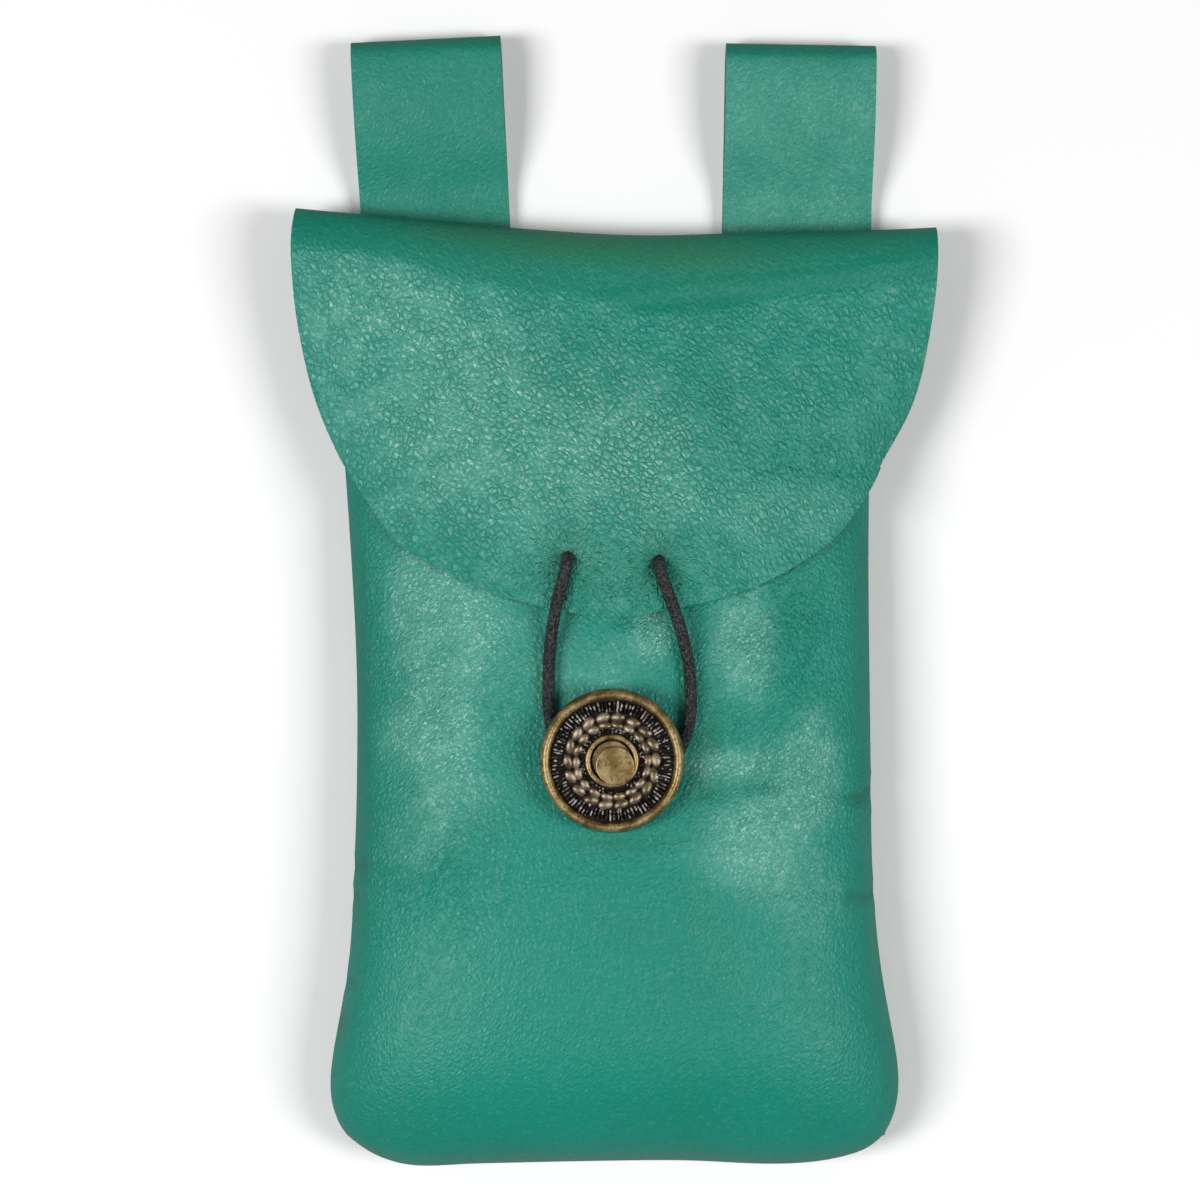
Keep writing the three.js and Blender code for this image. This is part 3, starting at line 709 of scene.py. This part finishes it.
flapCreases = [
    {"line": [(597, 300), (640, 292), (700, 282), (760, 283), (830, 274), (900, 262)], "wide": 1.2,
     "deep": -0.12},
    {"line": [(610, 318), (680, 312), (745, 306)], "wide": 1.0, "deep": -0.1},
    {"line": [(420, 345), (470, 338), (540, 322), (600, 324)], "wide": 1.0, "deep": 0.1},
    {"line": [(758, 470), (800, 462), (840, 472), (868, 468)], "wide": 1.0, "deep": 0.3},
    {"line": [(700, 440), (760, 430), (830, 436)], "wide": 2.4, "deep": 0.15},
    {"line": [(560, 566), (520, 590), (470, 600)], "wide": 1.6, "deep": 0.3},
    {"line": [(575, 560), (600, 590), (612, 606)], "wide": 1.4, "deep": 0.35},
    {"line": [(655, 566), (645, 590), (640, 606)], "wide": 1.3, "deep": 0.3},
    {"line": [(560, 552), (525, 520), (500, 480)], "wide": 2.2, "deep": 0.2},
    {"line": [(662, 556), (690, 520), (720, 500)], "wide": 2.2, "deep": 0.2},
    {"line": [(566, 545), (560, 500), (548, 450)], "wide": 2.4, "deep": 0.18},
    {"line": [(624, 604), (646, 604), (668, 598)], "wide": 2.6, "deep": -0.6},
]
flapPaint = {
    # the lower edge of the fold's smooth band, which is darkened with painted shade
    "band": [(280, 244), (340, 250), (400, 258), (450, 276), (520, 288), (580, 293), (640, 312), (700, 318),
             (760, 300), (830, 292), (900, 280)],
    # A painted sheen over the flap below the fold band, and patches of it.
    "sheenPaint": 0.27,
    "painted_sheen": [(395, 300, 60, 40, 0.3), (440, 340, 60, 50, 0.35), (330, 330, 40, 80, 0.25),
            (480, 440, 50, 70, 0.4), (550, 480, 50, 50, 0.4), (420, 440, 70, 70, 0.35),
            (520, 380, 50, 50, 0.2), (620, 440, 60, 60, 0.4), (660, 490, 60, 50, 0.25),
            (800, 430, 60, 50, 0.05), (780, 515, 60, 36, 0.25), (560, 560, 60, 30, 0.1)],
    "wrinkle": [(560, 575, 60, 40, 0.7), (655, 580, 50, 40, 0.6), (820, 460, 80, 40, 0.4)],
    "olive_tint": [(450, 226, 60, 16, 0.4), (560, 240, 80, 20, 0.5), (700, 252, 90, 20, 0.45),
              (860, 240, 60, 12, 0.25)],
    "plain": [(566, 556, 50, 40, 1.0), (658, 562, 50, 40, 1.0)],
    # Painted shade round the holes and between them.
    "painted_shade": [(566, 552, 30, 30, 0.6), (658, 560, 28, 28, 0.6), (612, 585, 50, 22, 0.4)],
}


# Halves the cells of the flap, which carries the finest folds.
def refineFlap(piece):
    bm = bmesh.new()
    bm.from_mesh(piece.data)
    bm.normal_update()
    fine = [face for face in bm.faces if face.normal.z > 0.05 and face.calc_center_median().z > 8 * mm]
    edges = list({edge for face in fine for edge in face.edges})
    bmesh.ops.subdivide_edges(bm, edges=edges, cuts=1, use_grid_fill=True)
    bm.to_mesh(piece.data)
    bm.free()


def makeBackAndFlap():
    bm = outerSkin("back_and_flap")
    for hole in holes:
        remakeHole(bm, hole)
    piece = addFromBmesh("back_and_flap_leather", bm, [flapSide, fleshSide, cutEdge])
    subdivide(piece, 2)
    low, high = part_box("front_panel")

    def isFree(spot):
        return spot.z > low.z + 1.5 * mm or spot.y > high.y - 4 * mm

    turnIn(piece, seam["closing"], isFree)
    refineFlap(piece)
    pressCreases(piece.data, flapCreases)
    thicken(piece, skin["thickness"], -1)
    dyeSeams(piece.data, isFree)
    place = readVertices(piece.data)
    onFlap = smooth(6 * mm, 12 * mm, place[:, 2])
    onFold = onFlap * smooth(8, -8, belowLine(place, flapPaint["band"]))
    pebbled = onFlap * (1 - 0.88 * onFold) * (1 - 0.5 * spots(place, flapPaint["plain"]))
    paint(piece.data, "grain", 0.2 + 0.8 * pebbled)
    # Painted sheen over the flap below the fold band.
    paint(piece.data, "painted_sheen", (flapPaint["sheenPaint"] + spots(place, flapPaint["painted_sheen"])) * (onFlap - onFold))
    paint(piece.data, "wrinkle", 0.1 + (0.05 + spots(place, flapPaint["wrinkle"])) * (onFlap - onFold))
    paint(piece.data, "olive_tint", spots(place, flapPaint["olive_tint"]) * onFlap)
    # Painted shade round the holes and over the fold's band.
    paint(piece.data, "painted_shade", spots(place, flapPaint["painted_shade"]) * onFlap + 0.58 * onFold)
    shadeSmooth(piece.data, skin["sharpFrom"])
    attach(piece, "root")
    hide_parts("back_and_flap")
    print("back and flap:", len(piece.data.polygons), "faces")


makeBackAndFlap()


# Belt loops

beltLoop = {
    "width": 26.8 * mm,
    "rise": 35 * mm,  # above the top fold
    "tail": 24 * mm,  # sewn below it
    "room": 6.6 * mm,
    "gap": 0.3 * mm,
    "foldRise": 4.82 * mm,  # where the upper leg meets the pouch
    "ease": (17 * mm, 7 * mm),
    # cells across the strip, and along its lower leg, bend, slope and sewn end
    "across": 16,
    "along": (22, 8, 14, 12),
}
loopPlaces = [
    # Each loop's share of painted sheen is given with its row.
    {"name": "belt_loop_left", "turn": 2.8, "sheenPaint": 0.16},
    {"name": "belt_loop_right", "turn": -1.0, "sheenPaint": 0.36},
]
stitching = {
    "rows": (-20.5 * mm, -15.5 * mm),  # from the top fold
    "count": 7,
    "pitch": 3.3 * mm,
    "size": (2.4 * mm, 0.55 * mm, 0.3 * mm),
    "round": 0.12 * mm,
    "sunk": 0.32 * mm,
    "furrow": 0.7 * mm,
}


def makeThread():
    material, tree, shader = newMaterial("waxedThread")
    place = objectPlace(tree)
    colour = blendColour(tree, noise(tree, place, 2400.0, 2.0), (0.01, 0.1, 0.07), (0.06, 0.24, 0.18))
    feed(tree, shader, {"Base Color": colour, "Roughness": 0.6})
    return material


threadLook = makeThread()


# Rows of stitches across the back of a loop's tail, sunk below its face.
def addStitches(loopName, matrix):
    bm = bmesh.new()
    for rowUp in stitching["rows"]:
        for number in range(stitching["count"]):
            across = (number - (stitching["count"] - 1) / 2) * stitching["pitch"]
            verts = bmesh.ops.create_cube(bm, size=1)["verts"]
            bmesh.ops.scale(bm, verts=verts, vec=stitching["size"])
            bmesh.ops.translate(bm, verts=verts, vec=(across, rowUp, stitching["size"][2] * 0.6))
    roundEdges(bm, list(bm.edges), stitching["round"], 2)
    bmesh.ops.transform(bm, matrix=matrix, verts=bm.verts)
    piece = addFromBmesh(loopName + "_stitches", bm, [threadLook])
    shadeSmooth(piece.data, skin["sharpFrom"])
    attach(piece, "root")


def extrudeAlong(bm, edges, step):
    made = bmesh.ops.extrude_edge_only(bm, edges=edges)["geom"]
    bmesh.ops.translate(bm, verts=[part for part in made if isinstance(part, bmesh.types.BMVert)], vec=step)
    return [part for part in made if isinstance(part, bmesh.types.BMEdge)
            and abs(part.verts[0].co.x - part.verts[1].co.x) > 0.1 * mm]


# One strip: along the ground, round the top and back down to the sewn end.
def makeLoop(row):
    size = beltLoop
    leather = skin["thickness"]
    low = leather / 2
    sewn = low + leather + size["gap"]
    bend = (size["room"] + leather) / 2
    top = size["rise"] - leather / 2
    legCells, bendCells, slopeCells, sewnCells = size["along"]
    bm = bmesh.new()
    first = bm.verts.new((-size["width"] / 2, -size["tail"], low))
    last = bm.verts.new((size["width"] / 2, -size["tail"], low))
    line = bm.edges.new((first, last))
    bmesh.ops.subdivide_edges(bm, edges=[line], cuts=size["across"] - 1)
    edges = list(bm.edges)
    for _ in range(legCells):
        edges = extrudeAlong(bm, edges, (0, (top - bend + size["tail"]) / legCells, 0))
    turned = bmesh.ops.spin(bm, geom=edges, axis=(1, 0, 0), cent=(0, top - bend, low + bend),
                            angle=math.pi, steps=bendCells, use_duplicate=False)["geom_last"]
    edges = [part for part in turned if isinstance(part, bmesh.types.BMEdge)]
    upper = geometry.interpolate_bezier(
        Vector((0, top - bend, low + 2 * bend)),
        Vector((0, top - bend - size["ease"][0], low + 2 * bend)),
        Vector((0, size["foldRise"] + size["ease"][1], sewn)),
        Vector((0, size["foldRise"], sewn)), slopeCells)
    upper += [Vector((0, y, sewn)) for y in np.linspace(size["foldRise"], -size["tail"], sewnCells)[1:]]
    for here, there in zip(upper, upper[1:]):
        edges = extrudeAlong(bm, edges, there - here)
    bmesh.ops.recalc_face_normals(bm, faces=bm.faces)
    highestFace = max(bm.faces, key=lambda face: face.calc_center_median().z)
    if highestFace.normal.z < 0:
        bmesh.ops.reverse_faces(bm, faces=bm.faces)
    lowBox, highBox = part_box(row["name"])
    middle = (lowBox + highBox) / 2
    middleUp = (size["rise"] - size["tail"]) / 2  # from the top fold
    turn = math.radians(row["turn"])
    bmesh.ops.translate(bm, verts=bm.verts, vec=(0, -middleUp, 0))
    turnVerts(bm, bm.verts, turn)
    bmesh.ops.translate(bm, verts=bm.verts, vec=(middle.x, middle.y, 0))
    piece = addFromBmesh(row["name"] + "_leather", bm, [loopSide, fleshSide, cutEdge])
    subdivide(piece, 2)
    thicken(piece, leather, 0)
    place = readVertices(piece.data)
    along = (place[:, 1] - middle.y) * math.cos(turn) - (place[:, 0] - middle.x) * math.sin(turn)
    along += middleUp
    for rowUp in stitching["rows"]:
        furrow = np.exp(-((along - rowUp) / stitching["furrow"]) ** 2)
        place[:, 2] += stitching["sunk"] * furrow * (place[:, 2] < 0.3 * mm)
    writeVertices(piece.data, place)
    nearFold = smooth(foldPlace.y + 3 * mm, foldPlace.y + 0.5 * mm, place[:, 1])
    atTop = smooth(highBox.y - 4 * mm, highBox.y - 1.5 * mm, place[:, 1])
    paint(piece.data, "grain", np.full(len(place), 0.35))
    # Painted sheen, left off the loop's top bend.
    paint(piece.data, "painted_sheen", row["sheenPaint"] * (1 - atTop))
    paint(piece.data, "wrinkle", np.full(len(place), 0.3))
    # Painted shadow on the upper face where the loop passes under the fold, partly as an olive, darker tint,
    # and painted shade over the loop's top bend.
    nearFold *= smooth(skin["thickness"], 2 * mm, place[:, 2])
    paint(piece.data, "olive_tint", nearFold * 0.2)
    paint(piece.data, "painted_shade", nearFold * 0.7 + atTop * 0.6)
    shadeSmooth(piece.data, skin["sharpFrom"])
    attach(piece, "root")
    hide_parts(row["name"])
    print(row["name"], len(piece.data.polygons), "faces")
    addStitches(row["name"], Matrix.Translation((middle.x, middle.y, 0)) @ Matrix.Rotation(turn, 4, "Z")
                @ Matrix.Translation((0, -middleUp, 0)))


for row in loopPlaces:
    makeLoop(row)


# Closure cord

# The middle of the elastic, in millimetres from the top fold's lowest place: from the left hole
# round the button's shank to the right hole, and back under the flap.
cordRoute = [
    (-8.16, -57.85, 23.9), (-8.3, -58.6, 25.3), (-8.6, -60.1, 26.2), (-9.2, -62.5, 26.35),
    (-10.1, -65.9, 26.05), (-10.8, -69.6, 25.1), (-11.3, -73.6, 24.3), (-11.55, -79.6, 24.2),
    (-11.4, -85.2, 24.3), (-9.6, -91.4, 24.5), (-5.2, -96.0, 24.65), (-0.53, -97.4, 24.65),
    (4.8, -96.4, 24.65), (10.0, -93.0, 24.5), (12.7, -87.4, 24.3), (13.1, -80.6, 24.2),
    (12.5, -74.8, 24.3), (11.2, -69.8, 25.0), (9.6, -65.2, 26.05), (8.5, -62.3, 26.4),
    (7.95, -60.7, 26.15), (7.7, -59.3, 25.25), (7.65, -58.6, 23.9),
    (7.45, -58.3, 22.3), (5.6, -58.0, 21.95), (0.0, -57.7, 21.9), (-6.0, -57.4, 21.95),
    (-7.95, -57.6, 22.3),
]
cordLook = {"diameter": 2.2 * mm, "steps": 10, "sides": 5}


# A charcoal cover of fine fibres, a little ribbed and dusty.
def makeCordCover():
    material, tree, shader = newMaterial("cordCover")
    place = objectPlace(tree)
    fibres = noise(tree, place, 1900.0, 3.0)
    dust = noise(tree, place, 900.0, 4.0)
    colour = blendColour(tree, spread(tree, fibres, 0.42, 0.7), (0.003, 0.003, 0.004), (0.055, 0.06, 0.06))
    colour = blendColour(tree, spread(tree, dust, 0.62, 0.8, 0.0, 0.3), colour, (0.09, 0.085, 0.09))
    feed(tree, shader, {"Base Color": colour, "Roughness": 0.42, "Sheen Weight": 0.03,
                        "Normal": raiseBump(tree, fibres, 0.0008)})
    return material


def makeCord():
    data = bpy.data.curves.new("closure_cord_route", "CURVE")
    data.dimensions = "3D"
    data.bevel_depth = cordLook["diameter"] / 2
    data.bevel_resolution = cordLook["sides"]
    data.resolution_u = cordLook["steps"]
    spline = data.splines.new("BEZIER")
    spline.bezier_points.add(len(cordRoute) - 1)
    for point, spot in zip(spline.bezier_points, cordRoute):
        point.co = foldPlace + Vector(spot) * mm
        point.handle_left_type = "AUTO"
        point.handle_right_type = "AUTO"
    spline.use_cyclic_u = True
    route = addObject("closure_cord_route", data, [])
    mesh = finishedMesh(route)
    bpy.data.objects.remove(route)
    bm = bmesh.new()
    bm.from_mesh(mesh)
    bmesh.ops.remove_doubles(bm, verts=bm.verts, dist=0.01 * mm)
    bmesh.ops.recalc_face_normals(bm, faces=bm.faces)
    for face in bm.faces:
        face.smooth = True
    bm.to_mesh(mesh)
    bm.free()
    mesh.name = "closure_cord_elastic"
    mesh.materials.clear()
    piece = addObject("closure_cord_elastic", mesh, [makeCordCover()])
    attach(piece, "root")
    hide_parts("closure_cord")
    print("cord:", len(mesh.polygons), "faces")


makeCord()


# Button

button = {
    "radius": 12.5 * mm,
    "foot": buttonLow.z,
    "back": 3.1 * mm,  # the disc's back above the shank's foot
    "thick": 3.4 * mm,
    "shank": 2.3 * mm,
    "floor": 0.5,  # the relief's floor, as a share of the thickness
    "reliefMiddle": 0.64,
    "turnSteps": 144,
    "ticks": 90,
    "tickFrom": 0.685,
    "tickTo": 0.845,
    "leaves": [
        {"count": 18, "radius": 0.61, "long": 1.42, "wide": 0.92, "lean": 14, "start": 0.1},
        {"count": 18, "radius": 0.495, "long": 1.2, "wide": 0.82, "lean": -8, "start": 0.1},
    ],
    "leafThick": 0.6 * mm,
    "leafTilt": -9,
    "tickTall": 1.0,
    "tickRound": 0.1 * mm,
    "grains": [(0.4, 44), (0.435, 48)],
    "grainRadius": 0.24 * mm,
    "reliefInner": 0.376,
    "reliefOuter": 0.853,
    "boss": 0.264,
    "bossTaper": 0.004,
    "bossTall": 0.45,
    "bossLevel": 0.8,
    "bossRound": 0.13 * mm,
    "bossInset": 0.06 * mm,
    "bossPlace": (0.04, -0.063),
    "seed": 12,
}


# Antique brass: rubbed bare on the rim, collar and boss, and gunmetal over black-brown in the
# relief, with silvery edges.
def makeBrass():
    material, tree, shader = newMaterial("antiqueBrass")
    place = objectPlace(tree)
    patina = readPaint(tree, "patina")
    silver = readPaint(tree, "silver")
    height = put(tree, "ShaderNodeSeparateXYZ", {0: place}).outputs["Z"]
    floor = button["foot"] + button["back"] + button["floor"] * button["thick"]
    speck = noise(tree, place, 2100.0, 4.0)
    cloud = noise(tree, place, 420.0, 4.0)
    worn = noise(tree, place, 900.0, 2.0)
    wander = calc(tree, "MULTIPLY_ADD", calc(tree, "SUBTRACT", speck, 0.5), 0.0006, height)
    bare = spread(tree, wander, floor + 0.1 * mm, floor + 0.8 * mm)
    brass = blendColour(tree, spread(tree, cloud, 0.35, 0.7), (0.24, 0.165, 0.06), (0.42, 0.31, 0.15))
    brass = blendColour(tree, spread(tree, speck, 0.54, 0.68, 0.0, 0.85), brass, (0.08, 0.05, 0.022))
    brass = blendColour(tree, bare, (0.03, 0.02, 0.014), brass)
    bronze = blendColour(tree, spread(tree, cloud, 0.35, 0.65), (0.15, 0.105, 0.062), (0.36, 0.295, 0.215))
    ticked = blendColour(tree, spread(tree, worn, 0.46, 0.6), (0.035, 0.028, 0.03), (0.72, 0.66, 0.64))
    relief = blendColour(tree, silver, bronze, ticked)
    relief = blendColour(tree, bare, (0.008, 0.006, 0.009), relief)
    dull = calc(tree, "MULTIPLY", calc(tree, "SUBTRACT", 1.0, patina), spread(tree, cloud, 0.35, 0.65))
    rough = spread(tree, cloud, 0.3, 0.8, 0.36, 0.56)
    feed(tree, shader, {
        "Base Color": blendColour(tree, patina, brass, relief),
        "Metallic": calc(tree, "MULTIPLY_ADD", dull, -0.3, 0.9),
        "Roughness": calc(tree, "MULTIPLY_ADD", silver, -0.12, rough),
        "Normal": raiseBump(tree, speck, 0.00006),
    })
    return material


# Spins a line of points round the button's axis into a closed body.
def turnProfile(bm, profile, steps):
    radius, back, thick = button["radius"], button["back"], button["thick"]
    points = [bm.verts.new((across * radius, 0, back + up * thick)) for across, up in profile]
    edges = [bm.edges.new(pair) for pair in zip(points, points[1:])]
    bmesh.ops.spin(bm, geom=points + edges, axis=(0, 0, 1), cent=(0, 0, 0), angle=2 * math.pi,
                   steps=steps, use_merge=True)


# A rounded bar of the relief, at a place on the +X axis turned about the button's middle.
def addBar(bm, low, high, size, turn):
    made = bmesh.ops.create_cube(bm, size=1)["verts"]
    bmesh.ops.scale(bm, verts=made, vec=size)
    bmesh.ops.translate(bm, verts=made, vec=((low + high) / 2, 0, button["level"]))
    edges = list({edge for vert in made for edge in vert.link_edges})
    turnVerts(bm, roundEdges(bm, edges, button["tickRound"], 1), turn)


def addLeaf(bm, ring, number):
    radius = button["radius"]
    turn = (number + ring["start"] + random.uniform(-0.05, 0.05)) / ring["count"] * 2 * math.pi
    made = bmesh.ops.create_uvsphere(bm, u_segments=14, v_segments=8, radius=1)["verts"]
    bmesh.ops.scale(bm, verts=made, vec=(ring["long"] * mm, ring["wide"] * mm, button["leafThick"]))
    lean = math.radians(90 + ring["lean"] + random.uniform(-6, 6))
    turnVerts(bm, made, lean)
    turnVerts(bm, made, math.radians(button["leafTilt"]), "X")
    bmesh.ops.translate(bm, verts=made, vec=(ring["radius"] * radius, 0, button["level"] + 0.1 * mm))
    turnVerts(bm, made, turn)


def addTicks(bm):
    radius, ticks = button["radius"], button["ticks"]
    for number in range(ticks):
        turn = (number + random.uniform(-0.14, 0.14)) / ticks * 2 * math.pi
        inner = button["tickFrom"] + random.uniform(-0.012, 0.02)
        outer = button["tickTo"] - random.uniform(0, 0.02)
        tall = (button["tickTall"] + random.uniform(-0.16, 0.12)) * mm
        size = ((outer - inner) * radius, random.uniform(0.3, 0.4) * mm, tall)
        addBar(bm, inner * radius, outer * radius, size, turn)


def addGrains(bm):
    radius = button["radius"]
    for place, count in button["grains"]:
        for number in range(count):
            turn = (number + random.uniform(-0.2, 0.2)) / count * 2 * math.pi
            spot = place * radius + random.uniform(-0.08, 0.08) * mm
            made = bmesh.ops.create_icosphere(bm, subdivisions=1, radius=button["grainRadius"])["verts"]
            middle = (spot * math.cos(turn), spot * math.sin(turn), button["level"] + 0.05 * mm)
            bmesh.ops.translate(bm, verts=made, vec=middle)


def addBoss(bm):
    radius, thick = button["radius"], button["thick"]
    foot = button["boss"] + button["bossTaper"]
    boss = bmesh.ops.create_cone(bm, cap_ends=True, segments=48, radius1=foot * radius,
                                 radius2=button["boss"] * radius, depth=button["bossTall"] * thick)["verts"]
    across, up = button["bossPlace"]
    level = button["back"] + button["bossLevel"] * thick
    bmesh.ops.translate(bm, verts=boss, vec=(across * radius, up * radius, level))
    topEdges = [edge for edge in {e for v in boss for e in v.link_edges}
                if all(vert.co.z > button["back"] + thick for vert in edge.verts)]
    roundEdges(bm, topEdges, button["bossRound"], 2)
    caps = [face for face in bm.faces if len(face.verts) > 40]
    top = max(caps, key=lambda face: face.calc_center_median().z)
    bmesh.ops.inset_region(bm, faces=[top], thickness=button["bossInset"])


def makeButton():
    random.seed(button["seed"])
    radius, thick, floor = button["radius"], button["thick"], button["floor"]
    button["level"] = button["back"] + button["reliefMiddle"] * thick
    shank = button["shank"] / radius
    footLevel = -button["back"] / thick
    bm = bmesh.new()
    turnProfile(bm, [
        (0, footLevel), (shank * 1.2, footLevel), (shank * 1.25, footLevel * 0.85),
        (shank, footLevel * 0.7), (shank, 0), (0.9, 0),
        (0.95, 0.02), (0.985, 0.18), (1.0, 0.42), (0.998, 0.62), (0.985, 0.8),
        (0.965, 0.92), (0.94, 0.985), (0.915, 1.0), (0.89, 0.97), (0.872, 0.9), (0.862, 0.8), (0.857, 0.68),
        (0.855, floor), (0.372, floor), (0.368, 0.82), (0.36, 0.89), (0.342, 0.92), (0.318, 0.91),
        (0.304, 0.86), (0.298, 0.5), (0.282, 0.5), (0.279, 0.62), (0.27, 0.66), (0, 0.66),
    ], button["turnSteps"])
    addTicks(bm)
    for ring in button["leaves"]:
        for number in range(ring["count"]):
            addLeaf(bm, ring, number)
    addGrains(bm)
    addBoss(bm)
    bmesh.ops.remove_doubles(bm, verts=bm.verts, dist=0.002 * mm)
    bmesh.ops.recalc_face_normals(bm, faces=bm.faces)
    bmesh.ops.translate(bm, verts=bm.verts, vec=(buttonMiddle.x, buttonMiddle.y, button["foot"]))
    piece = addFromBmesh("button_brass", bm, [makeBrass()])
    place = readVertices(piece.data)
    away = np.hypot(place[:, 0] - buttonMiddle.x, place[:, 1] - buttonMiddle.y) / radius
    inRelief = (away > button["reliefInner"]) & (away < button["reliefOuter"])
    inRelief &= place[:, 2] > button["foot"] + button["back"] + 0.2 * thick
    inTicks = (away > button["tickFrom"] - 0.02) | (away < button["reliefInner"] + 0.08)
    paint(piece.data, "patina", inRelief)
    paint(piece.data, "silver", inRelief & inTicks)
    shadeSmooth(piece.data, math.radians(40))
    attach(piece, "root")
    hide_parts("button")
    print("button:", len(piece.data.polygons), "faces")


makeButton()


# Floor and light

studio = {
    "world": 0.18,
    "size": 2.5,
    "floor": (0.97, 0.97, 0.97),
    "floorBounce": (0.45, 0.45, 0.45),  # what the white paper throws back at the leather
    # place, size, power in watts
    "lamps": [
        {"name": "left", "place": (-0.58, -0.1, 0.8), "size": (0.3, 0.46), "power": 6.4},
        {"name": "right", "place": (0.62, -0.1, 0.78), "size": (0.3, 0.46), "power": 5.0},
    ],
}


def addStudio():
    bm = bmesh.new()
    bmesh.ops.create_grid(bm, x_segments=1, y_segments=1, size=studio["size"])
    material, tree, shader = newMaterial("floorPaper")
    seenDirectly = put(tree, "ShaderNodeLightPath", {}).outputs["Is Camera Ray"]
    colour = blendColour(tree, seenDirectly, studio["floorBounce"], studio["floor"])
    feed(tree, shader, {"Base Color": colour, "Roughness": 0.9, "Specular IOR Level": 0.1})
    floor = addFromBmesh("floor", bm, [material])
    for lamp in studio["lamps"]:
        data = bpy.data.lights.new(lamp["name"], "AREA")
        data.shape = "RECTANGLE"
        data.size, data.size_y = lamp["size"]
        data.energy = lamp["power"]
        made = addObject(lamp["name"], data, [])
        made.location = lamp["place"]
        made.rotation_euler = (-Vector(lamp["place"])).to_track_quat("-Z", "Y").to_euler()
    world = bpy.data.worlds.new("studio")
    bpy.context.scene.world = world
    world.use_nodes = True
    back = world.node_tree.nodes["Background"]
    back.inputs["Color"].default_value = (1, 1, 1, 1)
    back.inputs["Strength"].default_value = studio["world"]
    bpy.context.scene.view_settings.view_transform = "Standard"


addStudio()
